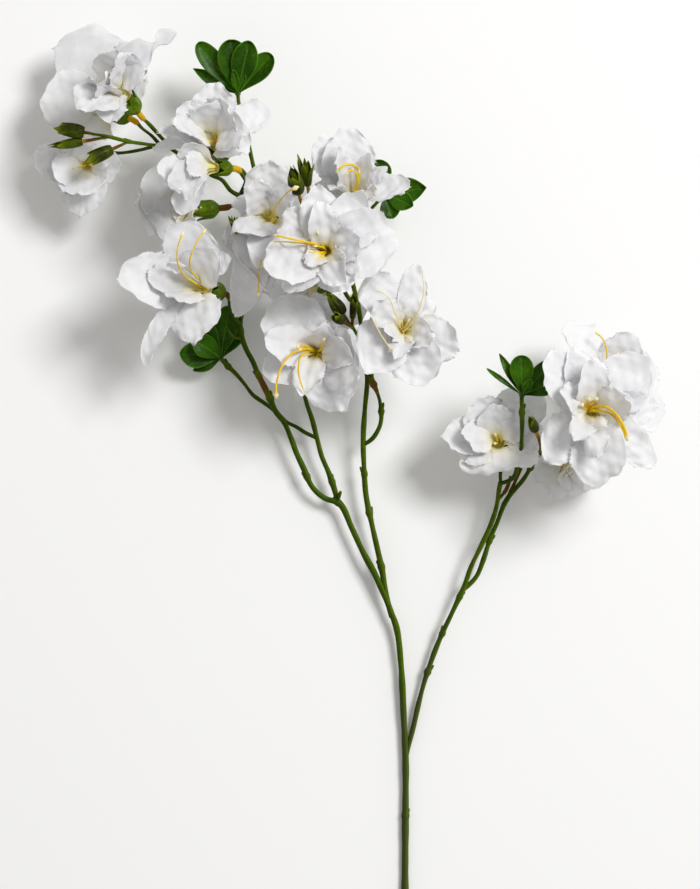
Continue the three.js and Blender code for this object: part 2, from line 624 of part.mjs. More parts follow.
// The petals of a whorl in their order round it. Their roots are evenly spread, whatever way each
// blade takes.
function petalsOf(name, key) {
  const bloom = BLOOMS[name];
  const whorl = WHORLS[key];
  const petals = TIPS[name]?.[key]?.map((entry) => petalTo(bloom, whorl, entry))
    ?? Array.from({ length: PETALS }, (_, index) => plainPetal(bloom, whorl, index));
  const step = (2 * Math.PI) / petals.length;
  const ordered = petals.sort((a, b) => a.angle - b.angle);
  const mean = (part) => ordered.reduce((sum, petal, i) => sum + part(petal.angle - step * i), 0);
  const start = Math.atan2(mean(Math.sin), mean(Math.cos));
  return ordered.map((petal, i) => {
    const root = start + step * i;
    const bend = Math.atan2(Math.sin(petal.angle - root), Math.cos(petal.angle - root));
    return { ...petal, root, bend };
  });
}

// A point of a petal's middle surface, in the bloom's own frame.
function petalPoint(bloom, whorl, index, petal, along, across) {
  const key = [bloom.seed, whorl.seed + index];
  const { open, curl, length, half } = petal;
  const cup = whorl.cup * (1 + 0.6 * swing(...key, 6));
  const phase = 2 * Math.PI * draw(...key, 7);
  const wild = bloom.wild ?? 1;
  const [reach, broad] = planform(along, across, half);
  const width = broad * (1 - petal.neck * Math.exp(-(((reach - NECK) / NECK_REACH) ** 2)));
  const [out, up] = reachAt(reach, whorl, length, open, curl);
  const lean = leanAt(reach, whorl, open, curl);
  const room = out * (0.58 + 0.3 * smooth(0.4, 0.8, reach)) + 12 * smooth(0.45, 0.9, reach);
  const side = room * Math.tanh(width / room);
  const bowl = (1 - smooth(0, 0.55, along)) / (out + 1.5) + (smooth(0.2, 1, along) * cup) / half;
  const rim = along * along * (1 - (1 - along ** 5) * (1 - across ** 4));
  const round = Math.atan2(side, (reach - 0.45) * length);
  const lift = (bowl * side * side) / 2
    + (petal.slope + whorl.twist * wild) * side * smooth(0.1, 0.5, along)
    + whorl.ruffle * wild * rim * Math.sin(3.2 * round + phase) * (0.8 + 0.4 * draw(...key, 8));
  const radial = out - Math.cos(lean) * lift;
  const angle = petal.root + petal.bend * smooth(0, 0.3, along);
  return new THREE.Vector3(
    Math.cos(angle) * radial - Math.sin(angle) * side,
    Math.sin(angle) * radial + Math.cos(angle) * side,
    up + Math.sin(lean) * lift,
  );
}

// Solids.

// The directions square to a grid of points.
function normalsOf(grid) {
  const last = grid.length - 1;
  return grid.map((row, i) => row.map((_, j) => {
    const down = grid[Math.min(i + 1, last)][j].clone().sub(grid[Math.max(i - 1, 0)][j]);
    const over = row[Math.min(j + 1, row.length - 1)].clone().sub(row[Math.max(j - 1, 0)]);
    return down.cross(over).normalize();
  }));
}

// The faces of a thin sheet, both sides split alike. closed: whether its first row has a wall.
function sheetFaces(rows, columns, top, base, closed) {
  const faces = [];
  const quad = (a, b, c, d) => faces.push([a, b, c], [a, c, d]);
  for (let i = 0; i < rows; i += 1) {
    for (let j = 0; j < columns; j += 1) {
      quad(top(i, j), top(i + 1, j), top(i + 1, j + 1), top(i, j + 1));
      faces.push([base(i, j), base(i + 1, j + 1), base(i + 1, j)]);
      faces.push([base(i, j), base(i, j + 1), base(i + 1, j + 1)]);
    }
    quad(top(i, 0), base(i, 0), base(i + 1, 0), top(i + 1, 0));
    quad(top(i + 1, columns), base(i + 1, columns), base(i, columns), top(i, columns));
  }
  for (let j = 0; j < columns; j += 1) {
    if (closed) quad(top(0, j + 1), base(0, j + 1), base(0, j), top(0, j));
    quad(top(rows, j), base(rows, j), base(rows, j + 1), top(rows, j + 1));
  }
  return faces;
}

// A closed sheet of even thickness round a grid of points.
function sheet(grid, thick) {
  const rows = grid.length - 1;
  const columns = grid[0].length - 1;
  const normals = normalsOf(grid);
  const points = [0.5, -0.5].flatMap((side) => grid.flatMap((row, i) => row.map((point, j) => (
    point.clone().addScaledVector(normals[i][j], side * thick)
  ))));
  const top = (i, j) => i * (columns + 1) + j;
  const base = (i, j) => top(i, j) + (rows + 1) * (columns + 1);
  return solidOf(points, sheetFaces(rows, columns, top, base, true));
}

// A closed solid from rings of points, with a flat or pointed cap at each end.
function rings(list) {
  const sides = list[0].length;
  const points = list.flat();
  const faces = [];
  for (let ring = 0; ring < list.length - 1; ring += 1) {
    for (let side = 0; side < sides; side += 1) {
      const next = (side + 1) % sides;
      const [a, b] = [ring * sides + side, ring * sides + next];
      faces.push([a, b, b + sides], [a, b + sides, a + sides]);
    }
  }
  for (const ring of [0, list.length - 1]) {
    const middle = new THREE.Vector3();
    list[ring].forEach((point) => middle.addScaledVector(point, 1 / sides));
    const hub = points.push(middle) - 1;
    for (let side = 0; side < sides; side += 1) {
      const [a, b] = [ring * sides + side, ring * sides + ((side + 1) % sides)];
      faces.push(ring ? [a, b, hub] : [b, a, hub]);
    }
  }
  return solidOf(points, faces);
}

// Points on a round section in the plane of two directions.
function circle(centre, first, second, radius, sides) {
  return Array.from({ length: sides }, (_, side) => {
    const angle = (2 * Math.PI * side) / sides;
    return centre.clone()
      .addScaledVector(first, radius * Math.cos(angle))
      .addScaledVector(second, radius * Math.sin(angle));
  });
}

// A round solid along a line of points, with a radius for each.
function sweep(line, radii, sides) {
  let first = null;
  const list = line.map((point, i) => {
    const ahead = line[Math.min(i + 1, line.length - 1)].clone().sub(line[Math.max(i - 1, 0)]).normalize();
    first = first ?? new THREE.Vector3(0, 0, 1).cross(ahead).normalize();
    first = first.clone().addScaledVector(ahead, -first.dot(ahead)).normalize();
    return circle(point, first, ahead.clone().cross(first), radii[i], sides);
  });
  return rings(list);
}

function solidOf(points, faces) {
  const geometry = new THREE.BufferGeometry();
  geometry.setAttribute("position", new THREE.Float32BufferAttribute(
    points.flatMap((point) => point.toArray()), 3,
  ));
  geometry.setIndex(faces.flat());
  return manifoldOf(geometry);
}

function manifoldOf(geometry) {
  const plain = mergeVertices(geometry, 1e-4);
  return new wasm.Manifold(new wasm.Mesh({
    numProp: 3,
    vertProperties: new Float32Array(plain.attributes.position.array),
    triVerts: new Uint32Array(plain.index.array),
  }));
}

const join = (solids) => solids.reduce((all, solid) => all.add(solid));

// The biggest body of a solid. Scraps that a cut leaves loose are dropped.
function mainBody(solid) {
  const bodies = solid.decompose();
  return bodies.sort((a, b) => b.volume() - a.volume())[0];
}

// Corollas, stamens and calyces.

function petalGrid(name, whorl, index, petal) {
  const [rows, columns] = whorl.steps;
  return Array.from({ length: rows + 1 }, (_, i) => Array.from({ length: columns + 1 }, (_, j) => {
    const along = (i / rows) ** 0.85;
    const point = petalPoint(BLOOMS[name], whorl, index, petal, along, (2 * j) / columns - 1);
    return bentClear(name, inBloom(BLOOMS[name], point));
  }));
}

function localRing(bloom, radius, height, sides, turn = 0) {
  return Array.from({ length: sides }, (_, side) => {
    const angle = radians(turn) + (2 * Math.PI * side) / sides;
    return inBloom(bloom, new THREE.Vector3(radius * Math.cos(angle), radius * Math.sin(angle), height));
  });
}

// One whorl as a closed solid: thin petals that share their roots with the next one, on a foot.
// Where pit is given, a blind hole of that floor height and radius is left in its middle.
function whorlSolid(name, key, thick) {
  const bloom = BLOOMS[name];
  const whorl = WHORLS[key];
  const [rows, columns] = whorl.steps;
  const petals = petalsOf(name, key);
  const count = petals.length;
  const grids = petals.map((petal, index) => petalGrid(name, whorl, index, petal));
  const normals = grids.map(normalsOf);
  const points = [];
  const ids = new Map();
  const place = (side, petal, i, j) => {
    const [owner, column] = i === 0 && j === columns ? [(petal + 1) % count, 0] : [petal, j];
    const spot = `${side} ${owner} ${i} ${column}`;
    if (!ids.has(spot)) {
      const offset = (index, at) => grids[index][i][at].clone()
        .addScaledVector(normals[index][i][at], (side * thick) / 2);
      const point = offset(owner, column);
      if (i === 0 && column === 0) {
        point.lerp(offset((owner + count - 1) % count, columns), 0.5);
      }
      ids.set(spot, points.push(point) - 1);
    }
    return ids.get(spot);
  };
  const faces = [];
  const ring = { 1: [], [-1]: [] };
  for (let petal = 0; petal < count; petal += 1) {
    const top = (i, j) => place(1, petal, i, j);
    const base = (i, j) => place(-1, petal, i, j);
    faces.push(...sheetFaces(rows, columns, top, base, false));
    for (let j = 0; j < columns; j += 1) {
      ring[1].push(top(0, j));
      ring[-1].push(base(0, j));
    }
  }
  const around = ring[1].length;
  const start = THREE.MathUtils.radToDeg(petals[0].root) - ROOT_SHARE / count;
  const addRing = ([radius, height]) => localRing(bloom, radius, height, around, start)
    .map((point) => points.push(point) - 1);
  const addHub = (height) => points.push(inBloom(bloom, new THREE.Vector3(0, 0, height))) - 1;
  const foot = addRing(whorl.foot);
  const footHub = addHub(whorl.foot[1]);
  const pit = whorl.pit ? addRing(whorl.pit) : null;
  const topHub = addHub(whorl.pit ? whorl.pit[1] : whorl.start[1] + ROOT_RISE);
  for (let a = 0; a < around; a += 1) {
    const b = (a + 1) % around;
    faces.push([foot[a], foot[b], ring[-1][b]], [foot[a], ring[-1][b], ring[-1][a]]);
    faces.push([footHub, foot[b], foot[a]]);
    if (pit) faces.push([pit[a], ring[1][a], ring[1][b]], [pit[a], ring[1][b], pit[b]]);
    faces.push(pit ? [topHub, pit[a], pit[b]] : [topHub, ring[1][a], ring[1][b]]);
  }
  return solidOf(points, faces);
}

// Both whorls of a bloom. The inner one stands in the middle of the outer one.
function corolla(name, extra = 0) {
  const [outer, inner] = Object.keys(WHORLS).map((key) => (
    whorlSolid(name, key, PETAL_THICK + 2 * extra)
  ));
  return outer.add(inner);
}

// One filament: a curve that leans out more and more, with a swollen tip.
function filament(bloom, [gap, length, lean, sway]) {
  const gapAngle = bloom.turn + (360 / PETALS) * gap;
  const local = new THREE.Vector3(0, 0, FILAMENT_FOOT);
  const line = [inBloom(bloom, local)];
  for (let step = 0; step < FILAMENT_STEPS; step += 1) {
    const share = (step + 0.5) / FILAMENT_STEPS;
    const turned = radians(gapAngle + sway * share * 1.6);
    const tilt = radians(FILAMENT_LEAN + (lean - FILAMENT_LEAN) * Math.min(1, share * 1.6));
    local.x += (Math.sin(tilt) * Math.cos(turned) * length) / FILAMENT_STEPS;
    local.y += (Math.sin(tilt) * Math.sin(turned) * length) / FILAMENT_STEPS;
    local.z += (Math.cos(tilt) * length) / FILAMENT_STEPS;
    line.push(inBloom(bloom, local));
  }
  const radii = line.map((_, i) => (i === FILAMENT_STEPS ? ANTHER_RADIUS : FILAMENT_RADIUS));
  const [before, tip] = line.slice(-2);
  line.push(tip.clone().lerp(before, -ANTHER_END / tip.distanceTo(before)));
  radii.push(FILAMENT_RADIUS);
  return sweep(line, radii, 3);
}

function stamens(name) {
  const bloom = BLOOMS[name];
  const column = rings(COLUMN.map(([radius, height]) => localRing(bloom, radius, height, 4)));
  return join([column, ...bloom.filaments.map((entry) => filament(bloom, entry))]);
}

// A cup with five pointed sepals, open at the top for the petals.
function calyx(name) {
  const bloom = BLOOMS[name];
  const start = radians(bloom.turn + WHORLS.inner.turn);
  return rings(CALYX_RINGS.map(([radius, low, high]) => Array.from({ length: CALYX_SIDES }, (_, side) => {
    const angle = (2 * Math.PI * side) / CALYX_SIDES + start;
    const [out, height] = side % 2 ? [radius * CALYX_VALLEY, low] : [radius, high];
    return inBloom(bloom, new THREE.Vector3(out * Math.cos(angle), out * Math.sin(angle), height));
  })));
}

// Stems, buds and leaves.

function stemLine(entry) {
  const route = entry.route.map(toPlace);
  if (entry.bloom) {
    const bloom = BLOOMS[entry.bloom];
    route.push(inBloom(bloom, new THREE.Vector3(0, 0, -4)));
  }
  const curve = new THREE.CatmullRomCurve3(route, false, "centripetal");
  const line = curve.getSpacedPoints(entry.steps ?? 3);
  if (entry.bloom) {
    const bloom = BLOOMS[entry.bloom];
    line.push(inBloom(bloom, new THREE.Vector3(0, 0, (-1.5 * CLEARANCE) / bloom.size)));
  }
  return line;
}

function stem(entry, sides, extra = 0) {
  const line = stemLine(entry);
  const [foot, tip] = entry.radius ?? [PEDICEL_RADIUS, PEDICEL_RADIUS];
  const radii = line.map((_, i) => {
    const share = i / (line.length - 1);
    const swell = (entry.knobs ?? []).reduce((sum, [where, size]) => (
      sum + size * Math.exp(-(((share - where) * line.length) ** 2) * 1.4)
    ), 0);
    return foot + (tip - foot) * share + swell + extra;
  });
  return sweep(line, radii, sides);
}

// A bud on its own stalk: a pointed body inside three bracts whose tips stand off it.
function bud(entry) {
  const stalk = entry.stalk.map(toPlace);
  const to = toPlace(entry.bud);
  const ahead = to.clone().sub(stalk[stalk.length - 1]).normalize();
  const foot = to.clone().addScaledVector(ahead, -entry.length);
  const across = new THREE.Vector3(0, 0, 1).cross(ahead).normalize();
  const over = ahead.clone().cross(across);
  const half = entry.girth / 2;
  const body = rings(BUD_RINGS.map(([valley, tip, inner, outer]) => Array.from({ length: 6 }, (_, side) => {
    const angle = (Math.PI * side) / 3;
    const [share, radius] = side % 2 ? [tip, outer * half] : [valley, inner * half];
    return foot.clone()
      .addScaledVector(ahead, share * entry.length)
      .addScaledVector(across, radius * Math.cos(angle))
      .addScaledVector(over, radius * Math.sin(angle));
  })));
  stalk.push(foot.clone().addScaledVector(ahead, STALK_DEPTH));
  return body.add(sweep(stalk, stalk.map(() => STALK_RADIUS), 4));
}

function leaf(at, [angle, length, width, lean, point]) {
  const [rows, columns] = [4, 2];
  const out = new THREE.Vector3(Math.cos(radians(angle)), Math.sin(radians(angle)), 0);
  const side = new THREE.Vector3(-out.y, out.x, 0);
  const grid = Array.from({ length: rows + 1 }, (_, i) => Array.from({ length: columns + 1 }, (_, j) => {
    const share = 1 - (1 - i / rows) ** 1.25;
    const across = (2 * j) / columns - 1;
    const widest = 0.66 - 0.16 * point;
    const swell = 0.1 + 0.9 * smooth(0, 1, share / widest) ** 0.8;
    const past = clamp((share - widest) / (1 - widest), 0, LEAF_END);
    const half = (width / 2) * swell * (1 - past * past) ** (0.5 + 0.55 * point);
    const tilt = radians(lean) * (1 - 0.55 * share);
    return at.clone()
      .addScaledVector(out, length * share * Math.cos(tilt) * (1 - 0.05 * across * across * share))
      .addScaledVector(side, half * across)
      .add(new THREE.Vector3(0, 0, length * share * Math.sin(tilt) + 0.16 * width * across * across * share));
  }));
  return sheet(grid, LEAF_THICK);
}

function rosette({ at, leaves }) {
  const base = toPlace(at);
  const up = new THREE.Vector3(0, 0, 1);
  const east = new THREE.Vector3(1, 0, 0);
  const north = new THREE.Vector3(0, 1, 0);
  const hub = rings([0, LEAF_STEP, LEAF_STEP * leaves.length + HUB_SPARE].map((height, i) => circle(
    base.clone().addScaledVector(up, height), east, north, HUB_RADII[i], 5,
  )));
  const blades = [...leaves].sort((a, b) => a[3] - b[3]).map((entry, i) => (
    leaf(base.clone().addScaledVector(up, LEAF_STEP * (i + 1)), entry)
  ));
  return join([hub, ...blades]);
}

// The finished solids, each trimmed by the ones before it where they would still touch.

const finished = [];

function keep(name, solid, material, spare = null) {
  finished.push({ name, solid, material, spare: spare ?? solid });
}

function trimmed(solid) {
  const box = solid.boundingBox();
  const meets = (other) => other.min.every((low, i) => low < box.max[i] + 1)
    && other.max.every((high, i) => high > box.min[i] - 1);
  let rest = solid;
  for (const { spare } of finished) {
    if (meets(spare.boundingBox())) rest = rest.subtract(spare);
  }
  return mainBody(rest);
}

const MATERIALS = {
  fabric: { color: "#f1f1f3", roughness: 0.8 },
  stamen: { color: "#d9b21c", roughness: 0.5 },
  calyx: { color: "#4d7a1c", roughness: 0.4 },
  leaf: { color: "#1f5a12", roughness: 0.3 },
  stem: { color: "#3f6322", roughness: 0.5 },
};

for (const [name, entries] of Object.entries(STEMS)) {
  const build = (extra) => join(entries.map((entry) => (
    entry.bud ? bud(entry) : stem(entry, entry.sides ?? 4, extra)
  )));
  keep(name, trimmed(build(0)), "stem", build(CLEARANCE));
}
for (const name of Object.keys(BLOOMS)) {
  keep(`calyx_${name}`, trimmed(calyx(name)), "calyx");
}
for (const [name, entry] of Object.entries(ROSETTES)) {
  keep(name, trimmed(rosette(entry)), "leaf");
}
for (const name of Object.keys(BLOOMS)) {
  keep(`stamens_${name}`, trimmed(stamens(name)), "stamen");
}
for (const name of Object.keys(BLOOMS)) {
  keep(`corolla_${name}`, trimmed(corolla(name)), "fabric", corolla(name, CLEARANCE));
}

// The branch as a group of named meshes, with the origin under the middle of its box.

const branch = new THREE.Group();
for (const { name, solid, material } of finished) {
  const mesh = solid.getMesh();
  const geometry = new THREE.BufferGeometry();
  geometry.setAttribute("position", new THREE.Float32BufferAttribute(mesh.vertProperties, 3));
  geometry.setIndex(Array.from(mesh.triVerts));
  geometry.computeVertexNormals();
  const piece = new THREE.Mesh(geometry, new THREE.MeshStandardMaterial(MATERIALS[material]));
  piece.name = name;
  branch.add(piece);
}
const box = new THREE.Box3().setFromObject(branch);
branch.position.set(-(box.min.x + box.max.x) / 2, -(box.min.y + box.max.y) / 2, -box.min.z);

export default branch;
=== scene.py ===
"""The looks of an artificial azalea branch that lies on its back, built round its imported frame.

Shapes are worked out in millimetres as whole arrays and put into the meshes in metres. +Z is up
and +Y runs from the cut end of the stem towards the blooms.
"""
from collections import namedtuple

import bpy
import numpy as np
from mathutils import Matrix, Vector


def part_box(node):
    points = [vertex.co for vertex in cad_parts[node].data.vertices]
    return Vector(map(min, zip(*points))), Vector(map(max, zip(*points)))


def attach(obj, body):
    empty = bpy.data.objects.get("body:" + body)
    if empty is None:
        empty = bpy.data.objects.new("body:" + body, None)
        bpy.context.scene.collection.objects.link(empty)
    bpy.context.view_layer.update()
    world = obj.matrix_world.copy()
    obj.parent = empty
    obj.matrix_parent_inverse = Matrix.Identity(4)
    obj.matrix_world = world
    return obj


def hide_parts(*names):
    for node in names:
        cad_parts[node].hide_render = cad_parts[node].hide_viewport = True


bl_info = {
    "name": "Azalea Branch",
    "version": (1, 0, 0),
    "blender": (4, 5, 0),
    "location": "View3D > Sidebar > Azalea",
    "description": "Fabric blooms, stamens, calyces, leaves, buds and stems round a packed frame",
    "category": "Add Mesh",
}

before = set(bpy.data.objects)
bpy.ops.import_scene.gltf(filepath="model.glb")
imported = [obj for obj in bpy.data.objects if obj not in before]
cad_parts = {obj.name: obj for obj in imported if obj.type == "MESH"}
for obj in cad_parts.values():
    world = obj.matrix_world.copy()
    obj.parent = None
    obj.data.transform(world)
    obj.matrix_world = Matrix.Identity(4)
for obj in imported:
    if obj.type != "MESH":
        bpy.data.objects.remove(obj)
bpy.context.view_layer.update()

BODY = "root"
MILLIMETRE = 0.001

# Places are written as seen straight from above: units to the right and down from the upper left
# corner of the view, and millimetres above the surface. UNIT is the size of one unit.
UNIT = 0.65
VIEW_CENTRE = (350, 444.5)
VIEW_HEIGHT = 889
EYE_HEIGHT = 1700
UNIT_HEIGHT = 35
SENSOR = 36

# Heights in a bloom, in millimetres from the foot of its calyx.
CALYX_LENGTH = 12
THROAT = (0, 0, 14.5)
RIM_HEIGHT = 30

# A bloom's petals keep this clear of the plane half way to each bloom within reach, and of the
# surface below, and bend back softly over a stretch. SHEET_ROOM is for half a petal's thickness.
NEIGHBOUR_REACH = 115
NEIGHBOUR_GAP = 0.6
NEIGHBOUR_BEND = 6
SURFACE_GAP = 2
SURFACE_BEND = 4
SHEET_ROOM = 0.4

# The two whorls of petals. start: how far out and up they leave the calyx. rise: their lean there,
# in degrees. cup, twist and ruffle: how far they bowl, turn and wave. curl: how far the rim curls
# out, and sway and spread: how much curl and lean differ. steps: the faces along and across.
WHORLS = {
    "outer": dict(
        seed=0, turn=0, start=(2.9, 12), length=43, half=19.5, rise=14, cup=0.28, twist=0.17,
        ruffle=2.6, curl=12, sway=22, spread=8, steps=(32, 28),
    ),
    "inner": dict(
        seed=7, turn=36, start=(1.9, 15.2), length=29, half=12.5, rise=12, cup=0.34, twist=0.2,
        ruffle=2.3, curl=12, sway=12, spread=5, steps=(22, 20),
    ),
}
PETALS = 5

# A petal is as narrow as its claw at the foot and widest at this share of its length, its end turns
# through this angle on each side of the tip, and its lean lies in this range. A neck is narrowest
# at NECK and reaches NECK_REACH to each side, as shares of the length. All angles are in degrees.
CLAW = 0.13
WIDEST = 0.58
END = 42
LEANS = (-20, 175)
NECK = 0.76
NECK_REACH = 0.1

# How far to the side a petal may spread: CLAW_ROOM is a share of its distance from the axis, and
# BLADE_ROOM is what the blade gains. ROLL: how far one side of a petal of half width ROLL_HALF rolls.
CLAW_ROOM = 0.62
BLADE_ROOM = 40
ROLL = 3.4
ROLL_HALF = 18

# The waves of a petal. LOBES: waves in a turn round the blade's middle, strength and seed of the
# uneven outline, and how much that adds to the length and the width. RUFFLES: waves in a turn of
# the large ruffles. DENTS: strength, then two waves across and along the blade, in radians per
# millimetre. PLEATS: the same across, for the pleats that fade out past the claw.
BLADE_MIDDLE = 0.45
LOBES = ((3.1, 1, 9), (7.3, 0.5, 10), (14.1, 0.5, 12))
LOBE_LENGTH = 0.022
LOBE_WIDTH = 0.03
RUFFLES = 3.2
DENTS = (
    (1, (0.34, 0.16), (-0.12, 0.29)), (0.6, (0.55, -0.37), (0, 0.47)), (0.3, (0.9, 0.5), (-0.4, 0.8)),
)
DENT_DEPTH = 0.8
PLEAT_DEPTH = 0.45
PLEATS = 0.95
PLEATS_FROM_CLAW = 15
PLEATS_REACH = 11

# The rim frays from this share of a petal's length on. Each edge of its grid is cut in three, and
# the teeth have this pitch and height, in millimetres.
FIRST_FRAY = 0.2
RIM_CUTS = 3
TOOTH = 1.7
TOOTH_HEIGHT = 2.3

# Digits for the repeatable draws.
DRAW_WEIGHT = 12.9898
DRAW_STEP = 65.24
DRAW_SCALE = 43758.5453

# The blooms. at: where the petals leave the calyx. face: the way the bloom looks. turn: the angle
# of its first petal. open and heart: how far the outer and inner petals lean out, in degrees.
# flat: how level its petals lie across, from 0 to 1. wild: how strongly they wave, 1 unless given.
# core: the size of its inner petals, 1 unless given. rest: the least height of its petals.
# filaments: [gap between inner petals, length, lean, sway]. bare: whether it has no short ones.
# pale: their least paleness, from 0 to 1. stalk: the colour that its stalk ends in, if not green.
BLOOMS = {
    "tip_upper": dict(
        seed=4, at=(127, 99, 64), face=(-0.50, 0.60, 0.62), turn=20, size=1.06, open=62, heart=36,
        flat=0.5, wild=0.6,
        filaments=[(1, 22, 30, 0), (3, 20, 30, 0)], stalk="gold",
    ),
    "tip_rear": dict(
        seed=13, at=(115, 111, 37), face=(-0.68, 0.38, -0.45), turn=46, size=1.14, open=56, heart=30,
        flat=1, wild=0.4, core=0.5,
        filaments=[(0, 20, 25, 0), (2, 20, 25, 0)], rest=0.4, stalk="gold",
    ),
    "tip_lower": dict(
        seed=7, at=(91, 162, 22), face=(-0.20, -0.38, 0.88), turn=28, size=0.92, open=62, heart=44,
        flat=0.5, wild=0.5, bare=True,
        filaments=[(0, 22, 34, 0), (2, 22, 34, 0)], rest=0.4,
    ),
    "crown_upper": dict(
        seed=28, at=(218, 148, 56), face=(-0.22, 0.50, 0.80), turn=12, size=1.08, open=66, heart=42,
        flat=0.4, wild=0.7, bare=True,
        filaments=[(3, 14, 36, 0), (1, 12, 36, 0)], stalk="gold",
    ),
    "crown_side": dict(
        seed=13, at=(218, 168, 76), face=(-0.80, -0.02, 0.55), turn=46, size=0.88, open=48, heart=28,
        flat=0.6, wild=0.5,
        filaments=[(2, 26, 28, 0), (0, 20, 22, 0)], stalk="gold",
    ),
    "crown_left": dict(
        seed=4, at=(200, 210, 34), face=(-0.93, -0.08, -0.10), turn=10, size=1.08, open=52, heart=32,
        flat=1, wild=0.5, core=0.5,
        filaments=[(1, 20, 26, 0), (3, 20, 26, 0)], stalk="russet",
    ),
    "left_low": dict(
        seed=7, at=(209, 290, 54), face=(-0.62, 0.14, 0.74), turn=16, size=1.14, open=66, heart=44,
        flat=0.7, wild=0.6, bare=True,
        filaments=[(1, 42, 44, 12), (1, 36, 48, -24)], stalk="russet",
    ),
    "left_centre": dict(
        seed=12, at=(271, 220, 42), face=(-0.08, 0.08, 0.99), turn=55, size=1.18, open=72, heart=48,
        bare=True,
        filaments=[(0, 44, 60, 0), (3, 42, 62, 0)],
    ),
    "centre": dict(
        seed=32, at=(328, 252, 84), face=(-0.12, 0.02, 0.99), turn=32, size=1.14, open=76, heart=50,
        filaments=[(2, 36, 62, -6), (2, 32, 60, 10)],
    ),
    "top": dict(
        seed=21, at=(352, 204, 50), face=(0.02, 0.50, 0.84), turn=10, size=1.04, open=66, heart=42,
        filaments=[(1, 28, 38, -10), (1, 26, 46, 30)],
    ),
    "low_centre": dict(
        seed=32, at=(317, 352, 46), face=(-0.06, -0.04, 0.99), turn=46, size=1.06, open=70, heart=48,
        filaments=[(3, 42, 54, -26), (3, 36, 52, 4), (2, 14, 44, 0)],
    ),
    "low_right": dict(
        seed=28, at=(402, 330, 62), face=(0.10, 0.02, 0.99), turn=60, size=1.10, open=72, heart=48,
        pale=0.6,
        filaments=[(0, 46, 50, 8), (1, 34, 50, -6), (3, 24, 44, -10)],
    ),
    "rear_centre": dict(
        seed=7, at=(326, 286, 36), face=(-0.35, -0.25, -0.72), turn=0, size=1.0, open=66, heart=40,
        core=0.5,
        filaments=[(0, 20, 30, 0), (2, 20, 30, 0)], rest=1.4,
    ),
    "side_left": dict(
        seed=13, at=(499, 446, 38), face=(-0.20, 0.42, 0.88), turn=108, size=1.04, open=58, heart=34,
        flat=0.7, wild=0.5, bare=True,
        filaments=[(0, 10, 30, 0), (2, 9, 30, 0)], stalk="russet",
    ),
    "side_front": dict(
        seed=7, at=(589, 412, 70), face=(0.08, 0.02, 0.99), turn=12, size=1.18, open=72, heart=46,
        filaments=[(0, 38, 52, -56), (0, 32, 48, -40), (1, 14, 34, 0)],
    ),
    "side_rear": dict(
        seed=28, at=(597, 390, 38), face=(0.42, 0.55, 0.25), turn=20, size=1.10, open=66, heart=40,
        flat=0.7, wild=0.7, core=0.5,
        filaments=[(1, 32, 36, 0), (0, 30, 36, 0)], rest=0.9,
    ),
    "side_low": dict(
        seed=4, at=(566, 450, 26), face=(0.16, -0.62, -0.20), turn=18, size=1.0, open=60, heart=36,
        flat=0.8, wild=0.6, core=0.5,
        filaments=[(1, 20, 26, 0), (3, 20, 26, 0)], rest=0.4,
    ),
}

